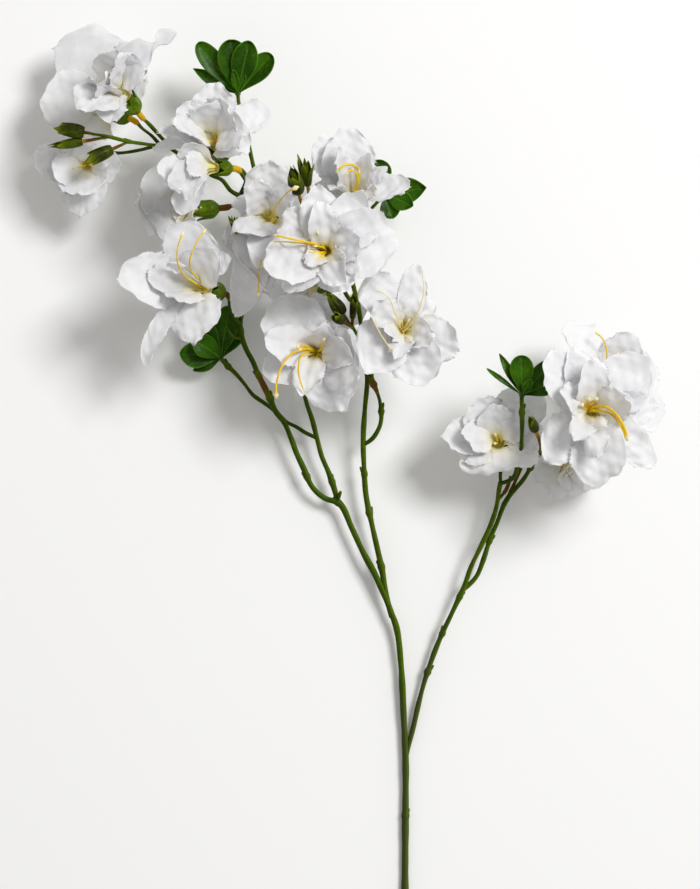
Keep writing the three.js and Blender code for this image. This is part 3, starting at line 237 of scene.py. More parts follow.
# Petals with a place of their own: across, down and height of the tip, half the width in
# millimetres, how far the rim curls out, in degrees, neck: the share that a neck takes off its
# width, and under: 1 for a petal that lies under its neighbours instead of bending clear of them.
TIPS = {
    "tip_upper": dict(
        outer=[
            (79, 108, 90, 14, 0), (90, 80, 84, 12, 0), (108, 52, 84, 14, 0), (146, 46, 78, 11, 0),
            (112, 123, 84, 9, 0), (174, 33, 80, 8.5, 0, 0.82),
        ],
        inner=[(98, 84, 96, 9, 10), (120, 58, 96, 11, 0), (142, 64, 88, 9, 0)],
    ),
    "tip_rear": dict(
        outer=[
            (93, 24, 40, 16, 0), (41, 99, 40, 18, 0), (84, 132, 26, 11, 10), (146, 84, 34, 9, 10),
            (122, 44, 24, 12, 10),
        ],
    ),
    "tip_lower": dict(
        outer=[
            (38, 153, 26, 12, 20), (50, 176, 32, 15, 10), (80, 213, 32, 16, 0), (119, 164, 28, 12, 10),
            (84, 138, 20, 11, 0),
        ],
        inner=[(54, 168, 46, 12, 20), (76, 196, 48, 15, 20), (106, 176, 42, 10, 0), (86, 144, 46, 9, 40)],
    ),
    "crown_upper": dict(
        outer=[
            (216, 82, 66, 13, 0), (184, 104, 68, 13, 10), (160, 134, 78, 13, 20), (246, 152, 78, 15, 20),
            (270, 112, 62, 10, 0), (150, 160, 62, 8, 10),
        ],
        inner=[(228, 104, 86, 13, 0), (176, 128, 90, 11, 20), (242, 130, 88, 13, 0), (204, 104, 86, 12, 0)],
    ),
    "crown_side": dict(
        outer=[
            (180, 218, 86, 8, 0), (158, 172, 96, 11, 10), (180, 150, 88, 9, 0), (178, 196, 70, 8, 0),
        ],
        inner=[(168, 182, 102, 8, 10), (186, 160, 100, 8, 0), (186, 200, 98, 6, 0)],
    ),
    "crown_left": dict(
        outer=[
            (136, 202, 44, 18, 0), (168, 242, 42, 17, 0), (150, 172, 42, 14, 0), (190, 232, 52, 8, 10),
            (176, 184, 58, 9, 0),
        ],
    ),
    "left_low": dict(
        outer=[
            (196, 214, 72, 15, 0), (121, 276, 82, 18, 40), (196, 340, 80, 17, 0), (146, 363, 62, 5, 20),
            (228, 232, 66, 14, 0),
        ],
        inner=[(150, 276, 80, 10, 10), (170, 300, 84, 9, 10), (212, 252, 86, 12, 0), (172, 262, 86, 6, 20)],
    ),
    "left_centre": dict(
        outer=[
            (270, 161, 66, 16, 0), (240, 206, 66, 13, 0), (236, 316, 66, 15, 0), (226, 262, 62, 15, 10),
            (310, 246, 50, 14, 0), (262, 306, 72, 11, 10), (240, 313, 46, 11.5, 0, 0, 1),
        ],
        inner=[
            (252, 186, 86, 11, 20), (258, 268, 92, 9, 20), (286, 190, 78, 10, 10), (240, 236, 90, 12, 10),
        ],
    ),
    "centre": dict(
        outer=[
            (396, 240, 96, 22, 0), (380, 200, 92, 17, 0), (318, 186, 102, 13, -10), (282, 212, 98, 15, 10),
            (265, 262, 104, 18, 10), (347, 288, 100, 15, 30), (286, 288, 98, 12, 10),
        ],
        inner=[
            (322, 204, 110, 9, 20), (359, 238, 108, 12, 10), (340, 284, 110, 10, 10), (342, 262, 106, 5, 40),
            (308, 262, 108, 7, 10),
        ],
    ),
    "top": dict(
        outer=[
            (321, 139, 60, 15, 0), (344, 131, 68, 18, 0), (386, 168, 70, 4.5, 0), (411, 187, 72, 9, 10),
            (305, 193, 68, 8, 20),
        ],
        inner=[(338, 148, 88, 10, 10), (368, 156, 84, 6, 0), (330, 189, 82, 7, 40), (376, 196, 80, 6, 10)],
    ),
    "low_centre": dict(
        outer=[
            (276, 299, 64, 21, 0), (264, 372, 64, 14, 0), (343, 408, 62, 18, 0), (370, 370, 88, 21, 20),
            (332, 296, 54, 16, 0),
        ],
        inner=[(268, 338, 78, 13, 0), (302, 394, 78, 9.5, 0), (326, 328, 84, 8, 0), (352, 352, 86, 11, 10)],
    ),
    "low_right": dict(
        outer=[
            (356, 267, 76, 13, 10), (418, 266, 80, 9, 0), (454, 352, 78, 16, 10), (422, 384, 76, 17, 10),
            (351, 364, 84, 18, 20), (434, 302, 74, 7, 0),
        ],
        inner=[(374, 304, 92, 11, 10), (431, 338, 92, 10, 10), (398, 354, 94, 8, 20), (384, 334, 94, 7, 20)],
    ),
    "rear_centre": dict(
        outer=[
            (266, 300, 60, 15, 0), (302, 322, 56, 14, 0), (336, 322, 66, 11, 0), (376, 286, 56, 13, 0),
            (332, 236, 38, 14, 0),
        ],
    ),
    "side_left": dict(
        outer=[
            (443, 435, 52, 12, 0), (476, 400, 56, 15, 0), (541, 390, 50, 15, 0), (501, 470, 46, 28, 150),
            (540, 428, 58, 14, 0), (460, 456, 50, 12, 20),
        ],
        inner=[(462, 434, 62, 10, 0), (496, 404, 60, 11, 0), (530, 414, 60, 10, 0)],
    ),
    "side_front": dict(
        outer=[
            (550, 356, 86, 17, 0), (574, 349, 82, 12, 0), (647, 360, 86, 19, 0), (650, 462, 80, 12, 10),
            (599, 487, 84, 17, 10), (542, 457, 82, 14, 10), (656, 408, 80, 12, 10),
        ],
        inner=[
            (592, 362, 104, 11, 0), (632, 400, 104, 11, 20), (575, 435, 104, 9, 20), (597, 456, 106, 8, 30),
            (562, 390, 102, 9, 10),
        ],
    ),
    "side_rear": dict(
        outer=[
            (565, 325, 48, 9, 0), (636, 338, 50, 14, 10), (656, 380, 36, 12, 10), (610, 340, 24, 12, 0),
            (650, 430, 44, 10, 10),
        ],
    ),
    "side_low": dict(
        outer=[
            (556, 497, 18, 13, 10), (588, 487, 20, 11, 10), (533, 475, 15, 10, 10), (550, 436, 30, 10, 10),
            (610, 470, 22, 10, 10),
        ],
    ),
}

# Filaments. ANTHER: the half length of an anther, and ANTHER_END: the radius of its end. A filament
# starts at FIRST_LEAN and reaches its own lean before its tip, by LEAN_GAIN. PLAIN_SIZES and
# EXTRA_SIZES: the radii of a filament and its anther, for those of the frame and for short ones.
ANTHER = 2.2
ANTHER_END = 0.25
FIRST_LEAN = 8
LEAN_GAIN = 1.6
PLAIN_SIZES = (0.6, 0.9)
EXTRA_SIZES = (0.5, 0.6)
LONGEST_EXTRA = 24
FILAMENT_STEPS = 14
ROUTE_STEPS = 26
THIN_SIDES = 8

# Filaments with a route of their own: radius, radius of the anther, then places from the throat on.
FILAMENTS = {
    "centre": [
        (0.72, 0.75, (318, 245, 96), (306, 242, 106), (292, 239, 112), (281, 236.5, 113), (273, 235, 111)),
        (0.5, 0.4, (316, 246, 94), (304, 243.5, 103), (288, 242, 108), (270, 241.5, 108)),
        (0.5, 0.5, (322, 247, 96), (314, 246, 102)),
    ],
    "top": [
        (
            0.85, 0.5, (353, 197, 58), (357, 187, 66), (359.5, 176, 76), (358, 168, 84), (351, 164.5, 90),
            (343, 166, 93), (335, 173, 92),
        ),
        (
            0.75, 0.5, (352, 197, 58), (355, 188, 70), (357.5, 180, 80), (355, 172, 88), (349, 171, 92),
            (345, 176, 92),
        ),
        (0.6, 0.5, (351.5, 198, 56), (354, 190, 66), (358, 182, 76), (359, 170, 84)),
    ],
    "left_centre": [
        (0.45, 1.7, (274, 211, 72), (277.5, 204, 82), (284, 196, 90), (291, 190, 95), (299, 186.5, 97)),
        (0.4, 1.4, (266, 240, 70), (261, 262, 88), (258.6, 276, 95), (258.5, 287, 95), (258.6, 297, 90)),
    ],
    "low_centre": [
        (
            0.75, 1.5, (311, 349, 62), (301, 350, 72), (290, 355, 80), (281, 368, 84), (276.5, 384, 83),
            (276, 399, 80),
        ),
        (0.6, 0.5, (306, 352, 66), (300, 358, 74), (298.5, 372, 80), (301, 383, 82), (305, 392, 81)),
        (0.8, 0.8, (310, 348, 62), (303, 345.5, 72), (296, 347, 77)),
        (0.75, 0.8, (311, 350, 62), (304, 348.5, 70), (298, 350.5, 74)),
        (0.7, 0.7, (320, 350, 62), (323, 344, 72), (324, 338, 78)),
    ],
    "low_right": [
        (0.42, 0.4, (403, 332, 72), (412, 322, 88), (420, 307, 96), (424, 290, 98), (422.5, 274.5, 97)),
        (0.4, 0.5, (401, 328, 72), (395, 313, 90), (389, 298, 100), (383, 293, 101), (376.5, 291, 100)),
        (
            0.42, 0.6, (398, 340, 76), (394, 349, 92), (391, 349, 98), (383, 338, 100), (376, 326, 100),
            (372, 317, 99),
        ),
        (0.5, 0.5, (404, 335, 74), (409, 339, 84), (412, 342, 88)),
    ],
    "left_low": [
        (
            0.6, 1.1, (192, 281, 74), (184.5, 275.5, 90), (178, 264, 98), (177.3, 250, 101), (180, 240, 101),
            (184, 231, 99),
        ),
        (
            0.55, 1.1, (196, 276, 74), (190.5, 269, 88), (190, 259, 96), (193.5, 249, 99), (199, 238, 99),
            (206.5, 229, 96),
        ),
    ],
    "side_front": [
        (
            0.95, 0.9, (592, 408, 86), (600, 406, 98), (607, 407.5, 106), (616, 414, 110), (624, 427, 110),
            (628, 441, 108),
        ),
        (
            0.85, 0.8, (592, 410, 86), (600, 411, 98), (611, 414, 106), (618, 422, 109), (624, 432, 109),
            (627, 441, 108),
        ),
        (0.85, 0.9, (588, 406, 84), (592, 402, 94), (598, 398, 99)),
        (0.85, 0.9, (586, 407, 84), (587, 402, 94), (590, 398, 99)),
        (0.9, 0.9, (585, 410, 84), (583, 407, 93), (582, 404, 98)),
    ],
    "side_rear": [
        (0.55, 0.9, (603, 375, 42), (607, 356, 50), (604, 341, 54), (599, 335, 55), (595, 332, 55)),
        (0.5, 0.7, (610, 372, 42), (618, 352, 48)),
    ],
}

# The stems. route: places along the middle line. radius: at the foot and at the tip.
# knobs: (share of the length, swelling in millimetres) of leaf scars and nodes.
# sheaths: (from, to) of brown stretches, as shares of the length. grey: the shares between which
# the grey green of its foot ends. A bud has its stalk's places and its tip, girth and length, and
# flare: how far its bracts stand off at their tips. STEM_WAVES: the height of each wave that makes a
# stem uneven, and the length of one radian of it. Radii are in millimetres.
STEM = 2.55
BRANCH = 2.1
TWIG = 1.45
PEDICEL = 1.2
STEM_STEP = 1.6
STEM_SIDES = 12
STEM_WAVES = ((0.12, 7), (0.08, 3.1))
KNOB_REACH = 1.9
SHEATH_SWELL = 0.35
BRACTS = 5
BUD_FLARE = 2.2

# The end of a stalk at its bloom: its swelling and length, and its place from green, 0, by brown,
# 1, to gold, 2.
CUFF_SWELL = 0.8
CUFF_LENGTH = 7
STALK_ENDS = {"green": 0.45, "russet": 1, "gold": 2}

STEMS = {
    "main_stem": [
        dict(
            route=[
                (405, 1012, 2.6), (405, 950, 2.7), (405, 889, 2.8), (405.4, 822, 3.2), (405.6, 760, 4),
                (403.7, 717, 5), (401, 665, 6.5), (396.8, 629, 8), (388, 603, 9.5), (381.4, 567, 11),
                (372.3, 526, 12.5), (366, 495, 14), (364, 466, 16), (363.2, 440, 19), (364.8, 410, 23),
                (367.3, 380, 29), (366, 355, 36), (362, 330, 42), (358, 305, 46), (352, 280, 48),
                (347, 255, 46), (346, 235, 42),
            ],
            radius=(STEM, TWIG), knobs=[(0.25, 0.5), (0.57, 0.5), (0.64, 0.6), (0.69, 0.6)],
            grey=(0.34, 0.46),
        ),
        dict(route=[(346, 235, 42), (348, 224, 40)], bloom="top"),
        dict(route=[(352, 280, 48), (344, 268, 54), (336, 258, 60)], bloom="centre"),
        dict(route=[(366, 355, 36), (376, 346, 40), (386, 340, 44)], bloom="low_right"),
        dict(route=[(358, 305, 46), (350, 300, 48)], bloom="rear_centre"),
        dict(
            route=[
                (363.6, 445, 18.5), (373, 438, 21), (379.8, 426, 23), (381.4, 415, 25),
                (379.8, 401, 27), (377, 392, 29), (373, 383, 33), (370, 370, 38), (366, 352, 46),
                (359, 338, 56), (352, 326, 64),
            ],
            radius=(TWIG, 1.1), knobs=[(0.28, 0.8), (0.48, 0.9), (0.56, 0.5)], sheaths=[(0.42, 0.53)],
        ),
        dict(stalk=[(353, 328, 63)], bud=(328, 294, 72), girth=9, length=16, flare=1),
        dict(stalk=[(353, 328, 64)], bud=(333, 315, 79), girth=6, length=10),
        dict(stalk=[(352, 329, 62)], bud=(354, 294, 74), girth=3.8, length=17, flare=3),
        dict(
            route=[(346, 235, 42), (358, 224, 36), (372, 208, 34), (383, 196, 36)],
            radius=(TWIG, 1.2),
        ),
        dict(
            route=[(346, 235, 42), (333, 220, 40), (318, 209, 40), (304, 202, 42)],
            radius=(TWIG, 1.1),
        ),
        dict(stalk=[(304, 202, 42), (302, 204, 60)], bud=(291, 168, 84), girth=10, length=21, flare=1.6),
        dict(stalk=[(306, 203, 42), (309, 196, 56)], bud=(304, 155, 74), girth=6, length=22, flare=5.5),
    ],
    "left_branch": [
        dict(
            route=[
                (392.4, 617, 8.7), (388.8, 606, 9.4), (386.0, 599, 10.4), (374.8, 574, 11), (363, 552, 11),
                (351.6, 527.5, 11), (340, 504, 11), (324.5, 498, 11), (312, 486.6, 12),
                (303.5, 468, 13), (296.5, 453, 14), (290.8, 437.5, 16), (283.8, 422, 18),
                (275.4, 411, 20), (269.8, 398, 22), (262.8, 384, 24), (257.9, 374, 26),
                (253, 362, 27), (246, 349, 28), (241.7, 336.5, 28), (240.3, 325, 27),
                (243, 308, 24), (247, 285, 20), (250, 262, 17), (250, 235, 16), (246, 212, 20),
                (240, 196, 26),
            ],
            radius=(BRANCH, TWIG), knobs=[(0.27, 0.5), (0.36, 0.6), (0.545, 0.9), (0.60, 0.5)],
            sheaths=[(0.56, 0.60)],
        ),
        dict(route=[(337, 502, 11), (338.5, 498, 13), (340.5, 492, 17)], radius=(1.5, 1.1)),
        dict(route=[(240.3, 325, 27), (234.7, 318, 31), (230, 309, 36)], bloom="left_low"),
        dict(route=[(241.7, 338, 28), (233, 337, 32), (226, 327, 34)], radius=(1.2, 0.9)),
        dict(route=[(250, 241, 16.3), (258, 233, 20), (266, 226, 24)], bloom="left_centre"),
        dict(route=[(240, 196, 26), (246, 178, 34), (242, 170, 38)], bloom="crown_upper"),
        dict(route=[(240, 196, 26), (247, 187, 42), (244, 178, 56)], bloom="crown_side"),
        dict(route=[(245, 208, 21), (239, 204, 28)], bloom="crown_left"),
        dict(
            route=[
                (240, 196, 26), (230, 190, 40), (222, 180, 46), (213, 176, 44), (200, 168, 36),
                (185, 158, 30), (169, 148, 30), (158, 145, 32),
            ],
            radius=(TWIG, TWIG),
        ),
        dict(route=[(169, 146, 30), (160, 136, 36), (149, 124, 44)], bloom="tip_upper"),
        dict(route=[(160, 145, 32), (152, 136, 32), (143, 129, 33)], bloom="tip_rear"),
        dict(route=[(158, 145, 32), (140, 150, 20), (120, 153, 9), (106, 153, 5.5)], bloom="tip_lower"),
        dict(
            route=[(160, 146, 32), (145, 144, 44), (126, 141, 57), (106, 136, 63), (92, 134, 64)],
            radius=(1.3, 1.0), knobs=[(0.55, 0.4)],
        ),
        dict(stalk=[(94, 134, 64)], bud=(53, 127, 65), girth=9, length=20, flare=1.6),
        dict(stalk=[(108, 137, 62)], bud=(50, 147, 62), girth=6, length=21, flare=1),
        dict(stalk=[(128, 142, 56)], bud=(84, 162, 64), girth=8, length=20, flare=3),
        dict(route=[(172, 148, 30), (168, 136, 38), (163, 129, 44)], radius=(1.1, 0.6)),
        dict(
            route=[
                (246, 212, 20), (255, 196, 22), (256, 180, 26), (252, 160, 32), (247, 138, 36),
                (243, 114, 40), (239, 104, 41), (238, 96, 42),
            ],
            radius=(TWIG, 1.35), knobs=[(0.80, 0.7), (0.88, 0.5)],
        ),
        dict(
            stalk=[(241, 322, 26), (243, 296, 36), (243, 272, 50), (239, 252, 64)],
            bud=(234, 215, 68), girth=3.8, length=11, flare=5,
        ),
    ],
    "middle_branch": [
        dict(
            route=[
                (339, 505, 11), (334, 488, 11.5), (328.7, 472.6, 12), (321.7, 456, 13),
                (316.8, 437.5, 14), (312, 419, 15), (306, 401, 16), (304, 388, 17), (306, 372, 20),
                (311, 360, 24),
            ],
            radius=(BRANCH * 0.9, 1.3), knobs=[(0.16, 0.4)],
        ),
        dict(route=[(309, 364, 22.5), (314, 356, 27)], bloom="low_centre"),
        dict(
            route=[
                (316.8, 438, 14), (306, 433, 13), (296.5, 427, 11), (286.6, 422, 10), (280, 416, 10),
                (272.6, 409, 10), (262.8, 402, 10), (253, 395, 10), (244.5, 384, 10), (236, 374, 10),
                (227.7, 366, 11), (222, 360, 12),
            ],
            radius=(1.35, 1.35), knobs=[(0.93, 0.9)],
        ),
    ],
    "right_branch": [
        dict(
            route=[
                (406, 757, 4), (409.3, 743, 4.4), (413.6, 726, 5), (418.8, 703, 6), (425, 680, 7),
                (437.7, 644, 9), (453.4, 610, 12), (464, 587, 14), (471, 567, 16), (481.6, 545, 18),
                (491, 524, 20), (496.4, 507, 22), (499.3, 488, 25), (500.7, 482, 27),
            ],
            radius=(1.7, 1.6), knobs=[(0.30, 0.9), (0.44, 0.7), (0.58, 0.4)], grey=(0.1, 0.7),
        ),
        dict(route=[(500.7, 484, 26), (500.4, 474, 27)], bloom="side_left"),
        dict(
            route=[
                (500.7, 483.5, 26.5), (512, 479, 27), (518, 464, 39), (521, 450, 53), (522, 430, 64),
                (522, 411, 68), (521.7, 397, 68),
            ],
            radius=(1.5, 1.4), knobs=[(0.88, 0.7)],
        ),
        dict(
            route=[
                (463, 590, 13.7), (471, 583, 13), (477.3, 575, 12.5), (484, 558, 13), (490, 539, 14),
                (497, 523, 15), (503.6, 505.5, 17), (509.3, 496, 19), (517, 487, 22), (523.7, 479, 26),
                (530.4, 468, 32), (538, 456, 41), (548, 442, 50), (560, 430, 54),
            ],
            radius=(1.6, 1.5), knobs=[(0.28, 0.8), (0.72, 0.9)],
        ),
        dict(route=[(558, 432, 53.5), (574, 420, 52)], bloom="side_front"),
        dict(route=[(558, 432, 53.5), (566, 424, 44), (570, 416, 38)], bloom="side_rear"),
        dict(route=[(550, 440, 50.5), (558, 428, 42)], bloom="side_low"),
        dict(stalk=[(540, 453, 43), (540, 442, 62)], bud=(530, 417, 76), girth=6, length=12),
        dict(
            route=[(498, 500, 22.5), (506, 490, 21), (511, 476, 20)],
            radius=(1.1, 0.8), sheaths=[(0.3, 1.2)],
        ),
        dict(
            route=[(505, 503, 18), (514, 484, 20), (521, 468, 20)],
            radius=(1.1, 0.8), sheaths=[(0.3, 1.2)],
        ),
    ],
}

# The leaf rosettes. at: the stem's tip. leaves: (angle, length, width, lean, point) of each. The angle
# is seen from above, lean is how far the leaf turns up from lying flat, in degrees, and point is 0
# for a round tip and 1 for a sharp one. LEAF_STEP is the height between leaves. VEINS is in radians
# per millimetre, and LEAF_TROUGH is how high the edges stand, as a share of the width.
LEAF_STEP = 0.95
LEAF_ROWS = 26
LEAF_COLUMNS = 14
LEAF_TROUGH = 0.16
LEAF_WAVE = 0.5
RIB_DEPTH = 0.35
VEIN_DEPTH = 0.16
VEINS = 1.9
HUB_RADII = (1.4, 1.8, 2.0, 1.9, 1.7, 1.4, 1.0, 0.4)
HUB_SIDES = 10
HUB_END = 1.6
ROSETTES = {
    "crown_leaves": dict(
        at=(238, 94, 42.5),
        leaves=[
            (129, 41, 14, 14, 0), (151, 33, 9, 8, 1), (97, 34, 20, 27, 0), (76, 34, 17, 33, 0.2),
            (48, 33, 15, 15, 0), (100, 15, 5, 52, 0.4), (66, 13, 4.5, 44, 0.5),
        ],
    ),
    "top_leaves": dict(
        at=(385, 194, 36.6),
        leaves=[
            (8, 27, 17, 6, 1), (104, 22, 15, 18, 0.1), (287, 17, 13, 6, 0.2), (335, 20, 13, 14, 0.6),
            (125, 15, 9, 40, 0),
        ],
    ),
    "twig_leaves": dict(
        at=(221, 358.5, 12.4),
        leaves=[
            (173, 27, 17, 20, 0.3), (80, 35, 17, 24, 0.1), (120, 31, 15, 34, 0), (204, 20, 8, 6, 0.8),
            (142, 22, 15, 50, 0), (60, 26, 13, 6, 0.2),
        ],
    ),
    "side_leaves": dict(
        at=(521.7, 395, 68.6),
        leaves=[
            (92, 25, 15, 12, 0), (119, 30, 5.5, 8, 0.8), (143, 28, 3.2, 4, 0.3), (48, 30, 12, 10, 0.4),
            (21, 25, 12, 5, 0.3), (62, 12, 6, 50, 0.3),
        ],
    ),
}


# Repeatable draws and easing


def draw(*keys):
    """A repeatable number from 0 to 1 for a list of numbers, from the digits of a sine."""
    weights = DRAW_WEIGHT + DRAW_STEP * np.arange(len(keys))
    value = np.sin(np.dot(keys, weights)) * DRAW_SCALE
    return float(value - np.floor(value))


def swing(*keys):
    """A repeatable number from -1 to 1."""
    return 2 * draw(*keys) - 1


def smooth(low, high, value):
    """The smooth step from 0 at low to 1 at high."""
    share = np.clip((value - low) / (high - low), 0, 1)
    return share * share * (3 - 2 * share)


# Places


def place_of(points):
    """Places in the view, with heights, as millimetres: nearer things take up more of the view."""
    points = np.asarray(points, float)
    scale = UNIT * (EYE_HEIGHT - points[..., 2]) / (EYE_HEIGHT - UNIT_HEIGHT)
    across = (points[..., 0] - VIEW_CENTRE[0]) * scale
    up = (VIEW_CENTRE[1] - points[..., 1]) * scale
    return np.stack([across, up, points[..., 2]], -1)


def axes_of(bloom):
    """The right, up and facing directions of a bloom, as rows."""
    facing = np.array(bloom["face"], float)
    facing /= np.linalg.norm(facing)
    right = np.cross((0, 1, 0), facing)
    right /= np.linalg.norm(right)
    return np.array([right, np.cross(facing, right), facing])


def in_bloom(bloom, points):
    """Points of a bloom's own frame, in place. Its calyx starts at the origin of that frame."""
    local = (np.asarray(points, float) - (0, 0, CALYX_LENGTH)) * bloom["size"]
    return place_of(bloom["at"]) + local @ axes_of(bloom)


def polar(radius, angle, height):
    """Points from a distance and an angle round the axis and a height along it."""
    radius, angle, height = np.broadcast_arrays(radius, angle, height)
    return np.stack([radius * np.cos(angle), radius * np.sin(angle), height], -1)


# The rim of a calyx in the frame: its sides, and the radii and heights of its tips and valleys.
FRAME_CALYX_SIDES = 10
FRAME_CALYX_RADII = (6.2, 6.2 * 0.94)
FRAME_CALYX_HEIGHTS = (14.8, 10.4)


def frame_shift():
    """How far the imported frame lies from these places, from the rim of one calyx that is in both."""
    bloom = BLOOMS["centre"]
    side = np.arange(FRAME_CALYX_SIDES)
    angle = 2 * np.pi * side / FRAME_CALYX_SIDES + np.radians(bloom["turn"] + WHORLS["inner"]["turn"])
    is_tip = side % 2 == 0
    radius = np.where(is_tip, *FRAME_CALYX_RADII)
    height = np.where(is_tip, *FRAME_CALYX_HEIGHTS)
    points = in_bloom(bloom, polar(radius, angle, height))
    low = np.array(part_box("calyx_centre")[0]) / MILLIMETRE
    return np.append((low - points.min(0))[:2], 0)


SHIFT = frame_shift()


def softly(value, reach):
    """Bends a value back so that it nears 0 as it grows and never passes it."""
    return np.where(value > -reach, -reach * np.exp(-(np.maximum(value, -reach) + reach) / reach), value)


def bent_clear(name, points):
    """Bends points clear of the planes half way to each neighbour, and of the surface below."""
    bloom = BLOOMS[name]
    centre = {key: in_bloom(other, (0, 0, RIM_HEIGHT)) for key, other in BLOOMS.items()}
    bent = points.copy()
    for key, other in BLOOMS.items():
        towards = centre[key] - centre[name]
        distance = np.linalg.norm(towards)
        if key == name or distance > NEIGHBOUR_REACH:
            continue
        towards /= distance
        share = bloom["size"] / (bloom["size"] + other["size"])
        past = (bent - centre[name]) @ towards - distance * share + NEIGHBOUR_GAP
        bent += (softly(past, NEIGHBOUR_BEND) - past)[..., None] * towards
    low = bloom.get("rest", SURFACE_GAP) + SHEET_ROOM - bent[..., 2]
    bent[..., 2] -= softly(low, SURFACE_BEND) - low
    return bent


# Meshes

# Points in millimetres, a list of arrays of faces, and for each point its UV place and its mask.
Surface = namedtuple("Surface", "points faces uv mask")


def grid_faces(rows, columns, wrapped=False):
    """Quads of a grid of points, counted row by row. A wrapped grid joins its last column to its
    first."""
    width = columns if wrapped else columns + 1
    i, j = np.meshgrid(np.arange(rows), np.arange(columns), indexing="ij")
    after = (j + 1) % width
    quads = [i * width + j, (i + 1) * width + j, (i + 1) * width + after, i * width + after]
    return np.stack(quads, -1).reshape(-1, 4)


def grid_surface(points, uv, mask, wrapped=False):
    """A surface from a grid of points."""
    rows, width = points.shape[:2]
    faces = grid_faces(rows - 1, width if wrapped else width - 1, wrapped)
    mask = np.broadcast_to(mask, (rows, width))
    return Surface(points.reshape(-1, 3), [faces], uv.reshape(-1, 2), mask.reshape(-1))


def closed_tube(points, uv, mask):
    """A wrapped grid whose first and last rings are closed by a fan round their middle."""
    rows, width = points.shape[:2]
    tube = grid_surface(points, uv, mask, wrapped=True)
    hubs = np.stack([points[0].mean(0), points[-1].mean(0)])
    side = np.arange(width)
    after = (side + 1) % width
    last = (rows - 1) * width
    foot = np.stack([np.full(width, rows * width), side, after], -1)
    tip = np.stack([np.full(width, rows * width + 1), last + after, last + side], -1)
    return Surface(
        np.concatenate([tube.points, hubs]), [*tube.faces, foot, tip],
        np.concatenate([tube.uv, uv[[0, -1], 0]]),
        np.concatenate([tube.mask, tube.mask[[0, -1]]]),
    )


def make_piece(name, surfaces, material, nodes):
    """Joins surfaces into one smooth mesh that stands for CAD nodes and rides on the branch."""
    offsets = np.cumsum([0] + [len(surface.points) for surface in surfaces])
    faces = [part + offset for surface, offset in zip(surfaces, offsets) for part in surface.faces]
    points = np.concatenate([surface.points for surface in surfaces]) + SHIFT
    corners = np.concatenate([part.reshape(-1) for part in faces])
    totals = np.concatenate([np.full(len(part), part.shape[1]) for part in faces])
    mesh = bpy.data.meshes.new(name)
    mesh.vertices.add(len(points))
    mesh.vertices.foreach_set("co", (points * MILLIMETRE).astype(np.float32).reshape(-1))
    mesh.loops.add(len(corners))
    mesh.loops.foreach_set("vertex_index", corners.astype(np.int32))
    mesh.polygons.add(len(totals))
    mesh.polygons.foreach_set("loop_start", (np.cumsum(totals) - totals).astype(np.int32))
    mesh.polygons.foreach_set("use_smooth", np.ones(len(totals), bool))
    uv = np.concatenate([surface.uv for surface in surfaces])
    mesh.uv_layers.new(name="UVMap").uv.foreach_set("vector", uv[corners].astype(np.float32).reshape(-1))
    mask = np.concatenate([surface.mask for surface in surfaces])
    mesh.attributes.new("mask", "FLOAT", "POINT").data.foreach_set("value", mask.astype(np.float32))
    mesh.update(calc_edges=True)
    mesh.materials.append(material)
    piece = bpy.data.objects.new(name, mesh)
    bpy.context.collection.objects.link(piece)
    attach(piece, BODY)
    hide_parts(*nodes)
    return piece


def thicken(piece, thick):
    """Gives a sheet its thickness on both sides of its middle surface."""
    solidify = piece.modifiers.new("Thickness", "SOLIDIFY")
    solidify.thickness = thick
    solidify.offset = 0


# Paths

FINE_STEPS = 16
FIXED_AXES = np.array([(1, 0, 0), (0, 1, 0), (0, 0, 1), (0.6, 0, 0.8), (0, 0.6, 0.8), (0.6, 0.8, 0)])


def lengths_along(line):
    """How far along a path each of its points is."""
    return np.append(0, np.cumsum(np.linalg.norm(np.diff(line, axis=0), axis=1)))


def path_through(points, steps):
    """Evenly spread points on a smooth curve through places, by cubic pieces whose slope at each
    place follows the line between its neighbours."""
    points = np.asarray(points, float)
    padded = np.concatenate([[2 * points[0] - points[1]], points, [2 * points[-1] - points[-2]]])
    gap = np.sqrt(np.linalg.norm(np.diff(padded, axis=0), axis=1))
    fine = np.linspace(0, len(points) - 1, FINE_STEPS * len(points))
    i = np.minimum(fine.astype(int), len(points) - 2)
    t = (fine - i)[:, None]
    before, here, after = gap[i][:, None], gap[i + 1][:, None], gap[i + 2][:, None]
    p0, p1, p2, p3 = (padded[i + k] for k in range(4))
    m1 = here * ((p1 - p0) / before - (p2 - p0) / (before + here) + (p2 - p1) / here)
    m2 = here * ((p2 - p1) / here - (p3 - p1) / (here + after) + (p3 - p2) / after)
    a, b = 2 * (p1 - p2) + m1 + m2, 3 * (p2 - p1) - 2 * m1 - m2
    curve = a * t**3 + b * t**2 + m1 * t + p1
    length = lengths_along(curve)
    even = np.linspace(0, length[-1], steps + 1)
    return np.stack([np.interp(even, length, curve[:, axis]) for axis in range(3)], -1)


def across_path(line):
    """Two directions square to a path at each point, steady along it: the first is square to the
    fixed axis that the path runs along least."""
    ahead = np.gradient(line, axis=0)
    ahead /= np.linalg.norm(ahead, axis=1)[:, None]
    least = FIXED_AXES[np.abs(ahead @ FIXED_AXES.T).max(0).argmin()]
    first = np.cross(least, ahead)
    first /= np.linalg.norm(first, axis=1)[:, None]
    return first, np.cross(ahead, first)


